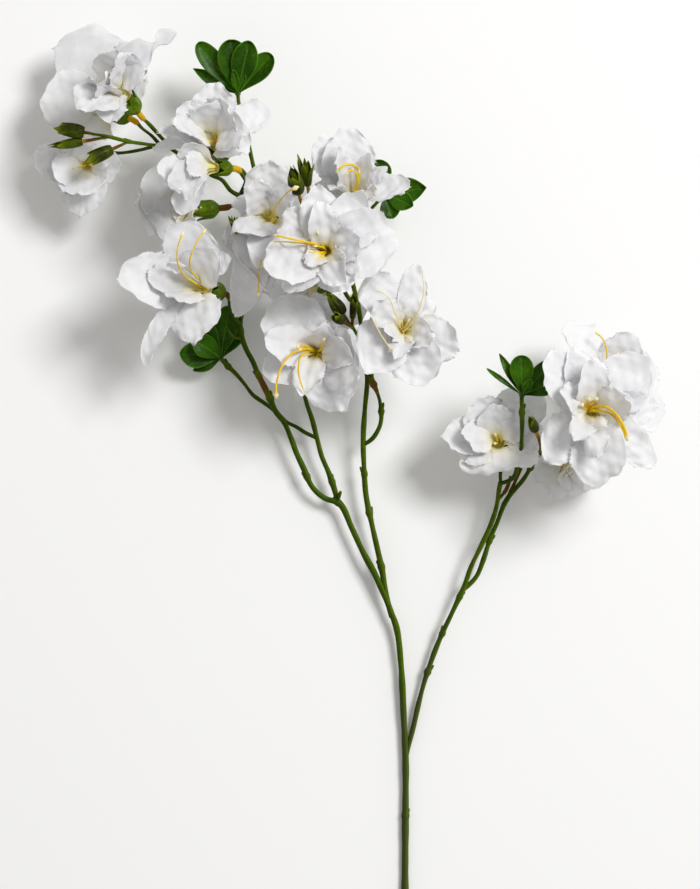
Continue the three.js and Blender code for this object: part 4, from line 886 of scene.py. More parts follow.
def tube_along(line, radii, sides, mask=0):
    """A round tube: at each point of a path, a circle of that radius in the plane square to it. U is
    0 where it faces left and 1 where it faces right."""
    first, second = across_path(line)
    angle = 2 * np.pi * np.arange(sides) / sides
    ring = np.cos(angle)[None, :, None] * first[:, None] + np.sin(angle)[None, :, None] * second[:, None]
    radii = np.broadcast_to(radii, len(line))
    points = line[:, None] + ring * radii[:, None, None]
    uv = np.stack(np.broadcast_arrays((1 + ring[..., 0]) / 2, lengths_along(line)[:, None] * 0.1), -1)
    return closed_tube(points, uv, np.broadcast_to(mask, len(line))[:, None])


# Petals

# A petal: its angle round the bloom in radians, its lean and curl in degrees, its length, half its
# width, its slope across, and neck and under as in its place.
Petal = namedtuple("Petal", "angle lean length half curl slope neck under")

# The millimetres of a petal in one unit of its UV map, the strips that its lean is summed over, and
# how many leans are tried to reach a place.
UV_SPAN = 50
LEAN_STRIPS = 12
TRIED_LEANS = 80
LARGEST_SLOPE = 1.3


def lean_at(share, whorl, lean, curl):
    """The lean of a petal from the bloom's axis at a share of its length."""
    rise = np.radians(whorl["rise"])
    spread = (np.radians(lean) - rise) * smooth(0.1, 0.6, share)
    return rise + spread + np.radians(curl) * smooth(0.6, 1.15, share)


def reach_at(share, whorl, length, lean, curl):
    """The distance out and up that a petal has reached: the sum of its lean over even strips."""
    middles = (np.arange(LEAN_STRIPS) + 0.5) / LEAN_STRIPS
    leans = lean_at(share[..., None] * middles, whorl, lean, curl)
    step = (length * share / LEAN_STRIPS)[..., None]
    out = whorl["start"][0] + (np.sin(leans) * step).sum(-1)
    up = whorl["start"][1] + (np.cos(leans) * step).sum(-1)
    return out, up


def planform(along, across, half):
    """A petal laid flat, as a share of its length and a distance to the side: a narrow claw, then a
    blade with a round end. The last row of the grid lies along the middle of that end."""
    half_end = np.radians(END)
    edge = along * (WIDEST + (1 - WIDEST) * np.cos(half_end))
    swell = np.cos(half_end * across) - np.cos(half_end)
    share = edge + (along - edge) * swell / (1 - np.cos(half_end))
    widen = CLAW + (1 - CLAW) * np.sin(0.5 * np.pi * np.clip(edge / WIDEST, 0, 1)) ** 1.2
    narrow = np.sqrt(1 - np.clip((edge - WIDEST) / (1 - WIDEST), 0, 1) ** 2)
    return share, half * widen * narrow * np.sin(half_end * across) / np.sin(half_end)


def plain_petal(bloom, whorl, index):
    """A petal that only its bloom and seed place."""
    key = (bloom["seed"], whorl["seed"] + index)
    inner = whorl is WHORLS["inner"]
    size = bloom.get("core", 1) if inner else 1
    return Petal(
        angle=np.radians(bloom["turn"] + whorl["turn"] + 360 / PETALS * index + 3 * swing(*key, 1)),
        lean=bloom["heart" if inner else "open"] + whorl["spread"] * swing(*key, 2),
        length=whorl["length"] * size * (1 + 0.07 * swing(*key, 4)),
        half=whorl["half"] * size * (1 + 0.07 * swing(*key, 5)),
        curl=whorl["curl"] + whorl["sway"] * swing(*key, 3),
        slope=0, neck=0, under=0,
    )


def petal_to(bloom, whorl, tip, half, curl, neck=0, under=0):
    """A petal whose tip is at a place: its lean is the one whose arc of unit length points the right
    way, and its length makes it reach. In a flat bloom its slope across turns the blade level."""
    axes = axes_of(bloom)
    local = axes @ (place_of(tip) - place_of(bloom["at"])) / bloom["size"] + (0, 0, CALYX_LENGTH)
    start = np.array(whorl["start"])
    out, up = (np.hypot(*local[:2]), local[2]) - start
    leans = np.linspace(*LEANS, TRIED_LEANS)
    arc = reach_at(np.ones(len(leans)), whorl, 1, leans[:, None], curl) - start[:, None]
    ways = np.unwrap(np.arctan2(*arc))
    best = np.interp(np.arctan2(out, up), ways, leans)
    unit = np.interp(best, leans, np.hypot(*arc))
    angle = np.arctan2(local[1], local[0])
    lean = np.radians(best)
    across, rise = axes[:, 2] @ np.array([
        (-np.sin(angle), np.cos(angle), 0),
        (-np.cos(lean) * np.cos(angle), -np.cos(lean) * np.sin(angle), np.sin(lean)),
    ]).T
    slope = np.clip(-across * rise / (rise**2 + 0.05), -LARGEST_SLOPE, LARGEST_SLOPE)
    return Petal(
        angle=angle, lean=best, length=np.hypot(out, up) / unit, half=half / bloom["size"], curl=curl,
        slope=slope * bloom.get("flat", 0), neck=neck, under=under,
    )


def petals_of(name, key):
    """The petals of one whorl of a bloom: those with places of their own, or else evenly round it."""
    bloom, whorl = BLOOMS[name], WHORLS[key]
    placed = TIPS.get(name, {}).get(key)
    if placed is None:
        return [plain_petal(bloom, whorl, index) for index in range(PETALS)]
    return [petal_to(bloom, whorl, petal[:3], *petal[3:]) for petal in placed]


def fine_folds(key, side, far, rim, around):
    """Small folds of a petal: short waves at the rim, soft dents all over, and pleats from the claw."""
    phase = 2 * np.pi * np.array([draw(*key, 20 + k) for k in range(8)])
    waves = (
        0.9 * np.sin(7.4 * around + phase[0]) * (1 + 0.6 * np.sin(2.3 * around + phase[1]))
        + 0.6 * np.sin(13.2 * around + phase[2] + np.sin(3.1 * around))
        + 0.4 * np.sin(24 * around + phase[3])
    )
    dents = sum(
        strength * np.sin(a * side + b * far + phase[k]) * np.sin(c * side + d * far + phase[k + 1])
        for k, (strength, (a, b), (c, d)) in zip((2, 4, 6), DENTS)
    )
    pleats = np.sin(PLEATS * side + phase[6]) * np.exp(-((far - PLEATS_FROM_CLAW) / PLEATS_REACH) ** 2)
    return rim**1.6 * waves + DENT_DEPTH * smooth(3, 16, far) * dents + PLEAT_DEPTH * pleats


def petal_points(bloom, whorl, index, petal, along, across):
    """Points of a petal's middle surface in the bloom's own frame: a blade that leans out along an
    arc, bowled across, twisted, and waved at its rim."""
    key = (bloom["seed"], whorl["seed"] + index)
    angle, length = petal.angle, petal.length
    wild = bloom.get("wild", 1)
    reach, side = planform(along, across, petal.half)
    side = side * (1 - petal.neck * np.exp(-(((reach - NECK) / NECK_REACH) ** 2)))
    around = np.arctan2(side, (reach - BLADE_MIDDLE) * length)
    rim = along**2 * (1 - (1 - along**5) * (1 - across**4))
    lobes = sum(
        strength * np.sin(turns * around + 9 * draw(*key, seed)) for turns, strength, seed in LOBES
    )
    reach = reach * (1 + LOBE_LENGTH * lobes * rim)
    side = side * (1 + LOBE_WIDTH * lobes * rim)
    out, up = reach_at(reach, whorl, length, petal.lean, petal.curl)
    lean = lean_at(reach, whorl, petal.lean, petal.curl)
    room = out * (CLAW_ROOM + 0.4 * smooth(0.3, 0.8, reach)) + BLADE_ROOM * smooth(0.25, 0.5, reach)
    side = room * np.tanh(side / room)
    cup = whorl["cup"] * (1 + 0.6 * swing(*key, 6)) / petal.half
    bowl = (1 - smooth(0, 0.55, along)) / (out + 1.5) + smooth(0.2, 1, along) * cup
    slope = (petal.slope + whorl["twist"] * wild) * smooth(0.1, 0.5, along)
    ruffle = whorl["ruffle"] * (0.8 + 0.4 * draw(*key, 8)) * wild * rim
    roll = ROLL * wild * swing(*key, 11)
    lift = (
        bowl * side**2 / 2 + slope * side
        + ruffle * np.sin(RUFFLES * around + 2 * np.pi * draw(*key, 7))
        + fine_folds(key, side, along * length, rim, around) * (0.4 + 0.6 * wild)
        + roll * np.maximum(across * np.sign(roll), 0) ** 3 * along**2 * petal.half / ROLL_HALF
    )
    radial = out - np.cos(lean) * lift
    local = np.stack([
        np.cos(angle) * radial - np.sin(angle) * side,
        np.sin(angle) * radial + np.cos(angle) * side,
        up + np.sin(lean) * lift,
    ], -1)
    uv = np.stack([side / UV_SPAN + 2 * index + 0.37 * whorl["seed"], along * length / UV_SPAN], -1)
    return local, uv


def frayed_rim(grid, key):
    """A strip of teeth outside a petal's grid: each edge of its rim is cut in three, and its points
    stand out by an uneven saw wave along the rim. Gives the strip's points and their share in it."""
    first = int(FIRST_FRAY * len(grid))
    border = np.concatenate([grid[first:, 0], grid[-1, 1:-1], grid[first:, -1][::-1]])
    end = grid[-2, 1:-1]
    inside = np.concatenate([grid[first:-1, 1], end[:1], end, end[-1:], grid[first:-1, -2][::-1]])
    outward = border - inside
    outward /= np.linalg.norm(outward, axis=1)[:, None]
    spot = np.arange(len(border))
    fine = np.arange(spot[-1] * RIM_CUTS + 1) / RIM_CUTS
    base = np.stack([np.interp(fine, spot, border[:, axis]) for axis in range(3)], -1)
    push = np.stack([np.interp(fine, spot, outward[:, axis]) for axis in range(3)], -1)
    push /= np.linalg.norm(push, axis=1)[:, None]
    far = lengths_along(base)
    saw = far / TOOTH + 0.5 * np.sin(far * 0.7 + key[0]) + 0.3 * np.sin(far * 1.9 + key[1])
    digits = np.sin(np.floor(saw) * DRAW_WEIGHT + key[0] * 7.1 + key[1] * 3.3) * DRAW_SCALE
    noise = np.modf(np.abs(digits))[0]
    calm = 0.6 + 0.4 * np.sin(far * 0.17 + key[0] + 2.1 * key[1])
    tooth = (1 - np.abs(2 * (saw % 1) - 1)) * (0.45 + 0.9 * noise) * TOOTH_HEIGHT * calm + 0.05
    tooth[[0, -1]] = 0
    return base + push * tooth[:, None], spot, first


def petal_surface(name, whorl, index, petal):
    """One petal as a fine grid with a frayed rim, bent clear of its neighbours."""
    bloom = BLOOMS[name]
    rows, columns = whorl["steps"]
    along = 1 - (1 - np.arange(rows + 1) / rows)[:, None] ** 1.25
    across = (2 * np.arange(columns + 1) / columns - 1)[None, :]
    along, across = np.broadcast_arrays(along, across)
    local, uv = petal_points(bloom, whorl, index, petal, along, across)
    key = (bloom["seed"], whorl["seed"] + index)
    teeth, spot, first = frayed_rim(local, key)
    width = columns + 1
    left = np.arange(first, rows + 1) * width
    border = np.concatenate([left, rows * width + np.arange(1, columns), (left + columns)[::-1]])
    fine = (rows + 1) * width + np.arange(len(teeth))
    a, b = border[:-1], border[1:]
    f = fine[:-1].reshape(-1, RIM_CUTS)
    last = fine[RIM_CUTS::RIM_CUTS]
    strip = np.concatenate([
        np.stack([a, f[:, 0], f[:, 1]], -1), np.stack([a, f[:, 1], b], -1),
        np.stack([b, f[:, 1], f[:, 2]], -1), np.stack([b, f[:, 2], last], -1),
    ])
    uv = uv.reshape(-1, 2)
    along_rim = np.arange(len(teeth)) / RIM_CUTS
    teeth_uv = np.stack([np.interp(along_rim, spot, uv[border, axis]) for axis in (0, 1)], -1)
    points = in_bloom(bloom, np.concatenate([local.reshape(-1, 3), teeth]))
    if not petal.under:
        points = bent_clear(name, points)
    uv = np.concatenate([uv, teeth_uv])
    # The mask carries the painted highlight on the rim: it rises towards the rim and is full on the teeth.
    rim = along**3 * (1 - (1 - along**6) * (1 - across**6))
    mask = np.concatenate([rim.reshape(-1), np.ones(len(teeth))])
    return Surface(points, [grid_faces(rows, columns), strip], uv, mask)


THROAT_SIDES = 16
THROAT_RINGS = np.array([(3.4, 13.4), (2.4, 12.2), (0.9, 12.6)])
THROAT_HUB = 12.7


def throat_surface(bloom):
    """The floor of the throat: a shallow cone under the petals' claws."""
    radius, height = THROAT_RINGS.T[..., None]
    side = np.arange(THROAT_SIDES)
    rings = in_bloom(bloom, polar(radius, 2 * np.pi * side / THROAT_SIDES, height))
    cone = grid_surface(rings, np.zeros((*rings.shape[:2], 2)), 0, wrapped=True)
    last = len(cone.points) - THROAT_SIDES
    hub = np.full(THROAT_SIDES, len(cone.points))
    fan = np.stack([hub, last + (side + 1) % THROAT_SIDES, last + side], -1)
    return Surface(
        np.concatenate([cone.points, in_bloom(bloom, [(0, 0, THROAT_HUB)])]), [*cone.faces, fan],
        np.concatenate([cone.uv, [(0, 0)]]), np.append(cone.mask, 0),
    )


# Stamens


def filament_line(bloom, gap, length, lean, sway):
    """A filament's middle line: it rises from the throat, leans out more and more, and sways."""
    bend = LEAN_GAIN * (np.arange(FILAMENT_STEPS) + 0.5) / FILAMENT_STEPS
    turned = np.radians(bloom["turn"] + 360 / PETALS * gap + sway * bend)
    tilt = np.radians(FIRST_LEAN + (lean - FIRST_LEAN) * np.minimum(1, bend))
    steps = length / FILAMENT_STEPS * polar(np.sin(tilt), turned, np.cos(tilt))
    return in_bloom(bloom, np.cumsum([THROAT, *steps], axis=0))


def stamen_surfaces(name, settings):
    """The filaments of a bloom, each with an anther: those with a route of their own, or else those
    of the frame, and shorter ones round them."""
    bloom = BLOOMS[name]
    gap, length, lean, _ = bloom["filaments"][0]
    lines = [
        (radius, anther, path_through([in_bloom(bloom, THROAT), *place_of(route)], ROUTE_STEPS))
        for radius, anther, *route in FILAMENTS.get(name, [])
    ]
    if not lines:
        lines = [(*PLAIN_SIZES, filament_line(bloom, *entry)) for entry in bloom["filaments"]]
    for extra in range(0 if bloom.get("bare") else settings.extra_filaments):
        key = (bloom["seed"], extra)
        line = filament_line(
            bloom, gap + 1.1 * swing(*key, 31), min(length, LONGEST_EXTRA) * (0.45 + 0.4 * draw(*key, 32)),
            lean * (0.6 + 0.5 * draw(*key, 33)), 40 * swing(*key, 34),
        )
        lines.append((*EXTRA_SIZES, line))
    surfaces = []
    for radius, anther, line in lines:
        far = lengths_along(line)
        left = far[-1] - far
        taper = radius * (1.15 - 0.35 * far / far[-1])
        reach = ANTHER * max(1, anther)
        radii = taper + (anther - 0.3) * np.exp(-(((left - 0.7 * reach) / (0.6 * reach)) ** 2))
        radii[-1] = ANTHER_END
        pale = np.maximum(1 - smooth(0.8, 1.7, left / reach), bloom.get("pale", 0))
        surfaces.append(tube_along(line, radii, THIN_SIDES, mask=pale))
    return surfaces


# Calyces, buds, stems and leaves

# A calyx in millimetres: the radius of its foot and how much it swells, the depth of the furrows
# between its sepals, how far their tips flare, the height of its valleys and how far the tips rise
# past them. Inside, each ring has a radius, what a tip adds to it, a drop, and a tip's own drop.
CALYX_SIDES = 50
CALYX_ROWS = 26
CALYX_FOOT = 1.7
CALYX_SWELL = 4.3
FURROW = 0.75
SEPAL_FLARE = 0.5
VALLEY_HEIGHT = 9.6
SEPAL_RISE = 5.6
CALYX_INSIDE = np.array([(5.0, 0.8, 0.2, 0), (3.4, 0, 2.6, 4.6), (0.8, 0, 3.4, 4.6)])


def calyx_surface(bloom):
    """A calyx: a cup that swells from the stalk, then ends in five pointed sepals with furrows
    between them, and folds in over the roots of the petals."""
    angle = 2 * np.pi * np.arange(CALYX_SIDES) / CALYX_SIDES
    lobe = np.abs(np.cos(PETALS / 2 * angle))
    tip = lobe**1.3
    share = (np.arange(CALYX_ROWS + 1) / CALYX_ROWS)[:, None]
    swell = CALYX_FOOT + CALYX_SWELL * np.sin(0.5 * np.pi * np.clip(share / 0.62, 0, 1)) ** 0.9
    furrow = FURROW * smooth(0.25, 0.7, share) * (1 - lobe) ** 1.5
    flare = SEPAL_FLARE * smooth(0.7, 1, share) * tip
    height = share * (VALLEY_HEIGHT + SEPAL_RISE * tip * smooth(0.45, 1, share))
    radius, wider, drop, deeper = CALYX_INSIDE.T[..., None]
    spin = np.radians(bloom["turn"] + WHORLS["inner"]["turn"])
    points = polar(
        np.concatenate([swell - furrow + flare, radius + wider * tip]), angle + spin,
        np.concatenate([height, height[-1] - drop - deeper * tip]),
    )
    full = np.ones((len(CALYX_INSIDE), 1))
    along = np.concatenate([share, full])
    uv = np.stack(np.broadcast_arrays(angle * 1.9, along * 1.2), -1)
    return closed_tube(in_bloom(bloom, points), uv, along * tip)


def stem_line(entry):
    """A stem's middle line, which runs on into the calyx where it carries a bloom."""
    route = place_of(entry["route"])
    if "bloom" in entry:
        bloom = BLOOMS[entry["bloom"]]
        route = np.concatenate([route, in_bloom(bloom, [(0, 0, -4), (0, 0, 0.6)])])
    return path_through(route, max(10, int(lengths_along(route)[-1] / STEM_STEP)))


def stem_surface(entry):
    """A moulded stem: a tube whose radius tapers, swells at its knobs and is never quite even.
    Its mask is -1 for grey green, 0 for green, 1 for brown and 2 for gold."""
    line = stem_line(entry)
    foot, tip = entry.get("radius", (PEDICEL, PEDICEL))
    share = np.linspace(0, 1, len(line))
    span = lengths_along(line)
    radii = foot + (tip - foot) * share
    for (size, reach), turn in zip(STEM_WAVES, entry["route"][0]):
        radii = radii + size * np.sin(span / reach + turn)
    for where, size in entry.get("knobs", []):
        radii = radii + 1.2 * size * np.exp(-(((span - where * span[-1]) / KNOB_REACH) ** 2))
    brown = 0.16 * share**2 + 0.03
    if "grey" in entry:
        brown = brown - 1 + smooth(*entry["grey"], share)
    for start, end in entry.get("sheaths", []):
        inside = smooth(start - 0.03, start + 0.02, share) * (1 - smooth(end - 0.02, end + 0.03, share))
        brown = np.maximum(brown, inside)
        radii = radii + SHEATH_SWELL * inside
    if "bloom" in entry:
        left = span[-1] - span
        end = STALK_ENDS[BLOOMS[entry["bloom"]].get("stalk", "green")]
        brown = end * (1 - smooth(CUFF_LENGTH, CUFF_LENGTH + 3, left))
        radii = radii + CUFF_SWELL * (1 - smooth(CUFF_LENGTH, CUFF_LENGTH + 2, left))
    return tube_along(line, radii, STEM_SIDES, mask=brown)


def scale_surfaces(entry):
    """The pointed scales at a stem's knobs, close to it, on one side and then the other."""
    line = stem_line(entry)
    span = lengths_along(line)
    share = np.linspace(0, 1, 6)[:, None]
    scales = []
    for count, (where, size) in enumerate(entry.get("knobs", [])):
        spot = np.searchsorted(span, where * span[-1])
        ahead = line[spot + 1] - line[spot]
        ahead /= np.linalg.norm(ahead)
        side = np.cross(ahead, (0, 0, 1)) * (-1) ** count
        out = 0.5 * entry["radius"][0] + (0.8 + size) * share
        path = line[spot] + out * side + (2.2 + 2.6 * size) * share * ahead
        radii = (0.8 + 0.4 * size) * np.sqrt(1.02 - share[:, 0] ** 2)
        scales.append(tube_along(path, radii, THIN_SIDES, mask=0.1))
    return scales


BUD_STEPS = np.linspace(0, 1, 15)[:, None]
BUD_SIDES = 20
BRACT_STEPS = np.linspace(-1, 1, 9)
HALF_BRACT = 0.2
BUD_STALK_STEPS = 14
BUD_STALK_RADII = (0.8, 1.25)
BUD_STALK_COLOURS = (0.2, 1.8)


def bud_foot(entry):
    """The foot of a bud and the way it points, which carries on from its stalk."""
    tip = place_of(entry["bud"])
    ahead = tip - place_of(entry["stalk"][-1])
    ahead /= np.linalg.norm(ahead)
    return tip - ahead * entry["length"], ahead


def bud_surfaces(entry):
    """A bud on its stalk: a pointed body in five bracts, each a curved blade that clasps it."""
    foot, ahead = bud_foot(entry)
    length, girth = entry["length"], entry["girth"] / 2
    first = np.cross((0, 0, 1), ahead)
    first /= np.linalg.norm(first)
    axes = np.array([first, np.cross(ahead, first), ahead])
    share = BUD_STEPS
    angle = 2 * np.pi * np.arange(BUD_SIDES) / BUD_SIDES
    body = girth * np.sin(np.pi * (0.1 + 0.9 * share) ** 0.72) ** 0.75 * (1 - 0.3 * share)
    points = polar(body * (1 + 0.05 * np.cos(BRACTS * angle)), angle, share * length * 0.92)
    uv = np.stack(np.broadcast_arrays(angle, share * 2), -1)
    surfaces = [closed_tube(points @ axes + foot, uv, 0.4 * share)]
    over = np.append(BRACT_STEPS, BRACT_STEPS[::-1])
    shell = HALF_BRACT * np.repeat([1, -1], len(BRACT_STEPS))
    for bract in range(BRACTS):
        key = (entry["length"], bract)
        turn = 2 * np.pi * (bract / BRACTS + 0.07 * swing(*key, 1))
        long = (0.72 + 0.36 * draw(*key, 2)) * length
        blade = 0.1 + girth * (1 + 0.2 * draw(*key, 3)) * np.sin(np.pi * (0.12 + 0.88 * share) ** 0.8) ** 0.8
        radius = np.interp(share * long / length, share[:, 0], body[:, 0]) + 0.3
        radius = radius + entry.get("flare", BUD_FLARE) * (0.2 + draw(*key, 4)) * share**2.2
        radius = radius - 0.35 * np.exp(-((over / 0.25) ** 2)) * share * (1 - share)
        turned = turn + blade * over / np.maximum(radius, 0.9 * girth)
        points = polar(radius + shell, turned, share * long)
        uv = np.stack(np.broadcast_arrays(np.tile(BRACT_STEPS, 2) * 0.5, share * 2 + bract), -1)
        surfaces.append(closed_tube(points @ axes + foot, uv, share**1.5))
    return surfaces


def bud_stalk(entry):
    """The golden stalk that carries a bud and runs on into it."""
    foot, ahead = bud_foot(entry)
    route = [*place_of(entry["stalk"]), foot, foot + ahead * 3]
    line = path_through(route, BUD_STALK_STEPS)
    radii = np.linspace(*BUD_STALK_RADII, len(line))
    return tube_along(line, radii, THIN_SIDES, mask=np.linspace(*BUD_STALK_COLOURS, len(line)))


def leaf_surface(at, angle, length, width, lean, point, key):
    """A leaf: a blade that widens towards its round or pointed tip, folded along a sunken midrib,
    with shallow side veins and a gentle wave at its edges."""
    out = polar(1, np.radians(angle), 0)
    side = np.array([-out[1], out[0], 0])
    share = 1 - (1 - np.linspace(0, 1, LEAF_ROWS + 1)[:, None]) ** 1.8
    over = np.linspace(-1, 1, LEAF_COLUMNS + 1)
    widest = 0.66 - 0.16 * point
    swell = 0.1 + 0.9 * smooth(0, 1, np.clip(share / widest, 0, 1)) ** 0.8
    past = np.clip((share - widest) / (1 - widest), 0, 1)
    half = width / 2 * swell * (1 - past**2) ** (0.5 + 0.55 * point) + 0.05
    tilt = np.radians(lean) * (1 - 0.55 * share)
    veins = VEIN_DEPTH * np.sin((share * length - 0.9 * np.abs(over) * half) * VEINS) * np.abs(over) ** 0.5
    wave = LEAF_WAVE * np.sin(share * 9 + key) * over**2 * np.sign(over)
    rib = -RIB_DEPTH * np.exp(-((over * half / 0.7) ** 2))
    trough = LEAF_TROUGH * width * over**2 * share
    height = length * share * np.sin(tilt) + trough + (veins + wave) * share + rib
    far = length * share * np.cos(tilt)
    points = at + far[..., None] * out + (half * over)[..., None] * side
    points[..., 2] += height
    uv = np.stack(np.broadcast_arrays(half * over / 20 + key, share * length / 20), -1)
    midrib = np.exp(-((over * half / 0.55) ** 2)) * (1 - 0.5 * share) + 0.8 * np.abs(over) ** 12
    return grid_surface(points, uv, midrib)


def rosette_surfaces(entry):
    """A rosette's leaves, lowest first, one step above another, and the short hub that holds them."""
    base = place_of(entry["at"])
    leaves = sorted(entry["leaves"], key=lambda leaf: leaf[3])
    up = np.array([0, 0, 1])
    blades = [
        leaf_surface(base + up * LEAF_STEP * (i + 1), *leaf, key=1.7 * i) for i, leaf in enumerate(leaves)
    ]
    top = LEAF_STEP * len(leaves) + HUB_END
    line = base + up * np.linspace(0, top, len(HUB_RADII))[:, None]
    return blades, tube_along(line, HUB_RADII, HUB_SIDES)


# Materials


class Nodes:
    """A short way to add and join the nodes of a tree."""

    def __init__(self, tree):
        self.tree = tree

    def add(self, kind, **inputs):
        """A node with some of its inputs set or joined. A name that starts with an underscore is one
        of its own values, and n with a number is the input at that place."""
        node = self.tree.nodes.new(kind)
        for name in [name for name in inputs if name[0] == "_"]:
            setattr(node, name[1:], inputs.pop(name))
        for name, value in inputs.items():
            place = name[1:]
            socket = node.inputs[int(place) if place.isdigit() else name.replace("_", " ")]
            if isinstance(value, bpy.types.NodeSocket):
                self.tree.links.new(value, socket)
            else:
                socket.default_value = value
        return node

    def join(self, value, node, name):
        """Joins a value to a node's input."""
        self.tree.links.new(value, node.inputs[name])

    def mask(self):
        """The mesh's own mask."""
        return self.add("ShaderNodeAttribute", _attribute_name="mask").outputs["Fac"]

    def place(self):
        """The place on the object, in metres."""
        return self.add("ShaderNodeTexCoord").outputs["Object"]

    def uv(self):
        """The place on the UV map."""
        return self.add("ShaderNodeUVMap", _uv_map="UVMap").outputs["UV"]

    def part(self, vector, axis):
        """One axis of a vector."""
        return self.add("ShaderNodeSeparateXYZ", Vector=vector).outputs[axis]

    def math(self, operation, first, second=0):
        """One step of arithmetic."""
        return self.add("ShaderNodeMath", _operation=operation, n0=first, n1=second).outputs[0]

    def plus(self, first, second, factor):
        """The first value and the second times a factor, added up."""
        return self.math("ADD", first, self.math("MULTIPLY", second, factor))

    def ease(self, value, low, high):
        """0 at low, 1 at high, and smooth between, whichever of the two is larger."""
        return self.add(
            "ShaderNodeMapRange", _interpolation_type="SMOOTHSTEP", Value=value, From_Min=low, From_Max=high,
        ).outputs["Result"]

    def mix(self, share, first, second):
        """The first colour where the share is 0 and the second where it is 1."""
        node = self.add("ShaderNodeMix", _data_type="RGBA", n0=share, n6=first, n7=second)
        return node.outputs[2]

    def noise(self, vector, scale, detail, rough):
        """Noise from 0 to 1."""
        node = self.add("ShaderNodeTexNoise", Vector=vector, Scale=scale, Detail=detail, Roughness=rough)
        return node.outputs["Fac"]


def node_group(name, inputs, outputs):
    """A shader node group with named float or vector sockets, a writer for its tree, what it is given
    and the node for what it puts out."""
    group = bpy.data.node_groups.new(name, "ShaderNodeTree")
    kinds = {"float": "NodeSocketFloat", "vector": "NodeSocketVector"}
    for direction, sockets in (("INPUT", inputs), ("OUTPUT", outputs)):
        for label, kind in sockets.items():
            group.interface.new_socket(label, in_out=direction, socket_type=kinds[kind])
    nodes = Nodes(group)
    return group, nodes, nodes.add("NodeGroupInput").outputs, nodes.add("NodeGroupOutput")


def weave_group():
    """Plain weave: two sets of threads square to each other, uneven by noise. Puts out a height."""
    group, nodes, given, result = node_group(
        "Weave", {"Vector": "vector", "Threads": "float"}, {"Height": "float"},
    )
    split = nodes.add("ShaderNodeSeparateXYZ", Vector=given["Vector"]).outputs
    waves = [
        nodes.math("SINE", nodes.math("MULTIPLY", split[axis], given["Threads"])) for axis in (0, 1)
    ]
    rough = nodes.noise(given["Vector"], scale=90, detail=4, rough=0.7)
    nodes.join(nodes.plus(nodes.math("MULTIPLY", *waves), rough, 1.6), result, "Height")
    return group


def mottle_group():
    """Uneven colour: two sizes of noise. Puts out a share from 0 to 1."""
    group, nodes, given, result = node_group(
        "Mottle", {"Scale": "float", "Fine": "float"}, {"Share": "float"},
    )
    place = nodes.place()
    coarse = nodes.noise(place, given["Scale"], detail=3, rough=0.55)
    fine = nodes.noise(place, given["Fine"], detail=2, rough=0.6)
    both = nodes.plus(nodes.math("MULTIPLY", coarse, 0.7), fine, 0.3)
    nodes.join(nodes.ease(both, 0.36, 0.64), result, "Share")
    return group


def new_material(name, **sockets):
    """A material with its Principled shader's plain values set, and a writer for its nodes."""
    material = bpy.data.materials.new(name)
    material.use_nodes = True
    nodes = Nodes(material.node_tree)
    shader = material.node_tree.nodes["Principled BSDF"]
    for key, value in sockets.items():
        shader.inputs[key.replace("_", " ")].default_value = value
    return material, nodes, shader


# Where the cream and the deep colour of a petal start and where they are full, in V on its map, and
# the same for the painted highlight along its rim, where a cut edge would catch the light, in its mask.
CREAM_REACH = (0.5, 0.14)
THROAT_REACH = (0.28, 0.04)
RIM_HIGHLIGHT = (0.8, 1.0)


def petal_material(settings, weave, mottle):
    """White stiffened fabric: cream in the throat, cool and a little grey in the blade, woven."""
    material, nodes, shader = new_material(
        "Petal fabric", Roughness=0.62, Sheen_Weight=0.12, Subsurface_Weight=settings.glow,
        Subsurface_Radius=(1.0, 0.97, 0.92), Subsurface_Scale=0.004, Specular_IOR_Level=0.28,
    )
    uv = nodes.uv()
    far = nodes.part(uv, 1)
    patchy = nodes.add("ShaderNodeGroup", _node_tree=mottle, Scale=38, Fine=150).outputs["Share"]
    body = nodes.mix(patchy, settings.petal_colour[:], settings.petal_shade[:])
    deep = nodes.ease(far, *THROAT_REACH)
    cream = nodes.mix(deep, settings.cream_colour[:], settings.throat_colour[:])
    colour = nodes.mix(nodes.ease(nodes.plus(far, patchy, 0.06), *CREAM_REACH), body, cream)
    # Painted highlight: the rim and its teeth are mixed a third of the way to white, as where a cut edge
    # catches the light.
    rim = nodes.ease(nodes.mask(), *RIM_HIGHLIGHT)
    colour = nodes.mix(nodes.math("MULTIPLY", rim, 0.35), colour, (1, 1, 1, 1))
    nodes.join(colour, shader, "Base Color")
    streak = nodes.add("ShaderNodeMapping", Vector=uv, Scale=(1, 0.16, 1)).outputs["Vector"]
    folds = nodes.noise(streak, scale=16, detail=4, rough=0.6)
    thread = nodes.add("ShaderNodeGroup", _node_tree=weave, Vector=uv, Threads=520).outputs["Height"]
    height = nodes.plus(nodes.math("MULTIPLY", thread, 0.12), folds, 1.4)
    bump = nodes.add("ShaderNodeBump", Height=height, Strength=0.35, Distance=0.0006)
    nodes.join(bump.outputs["Normal"], shader, "Normal")
    return material


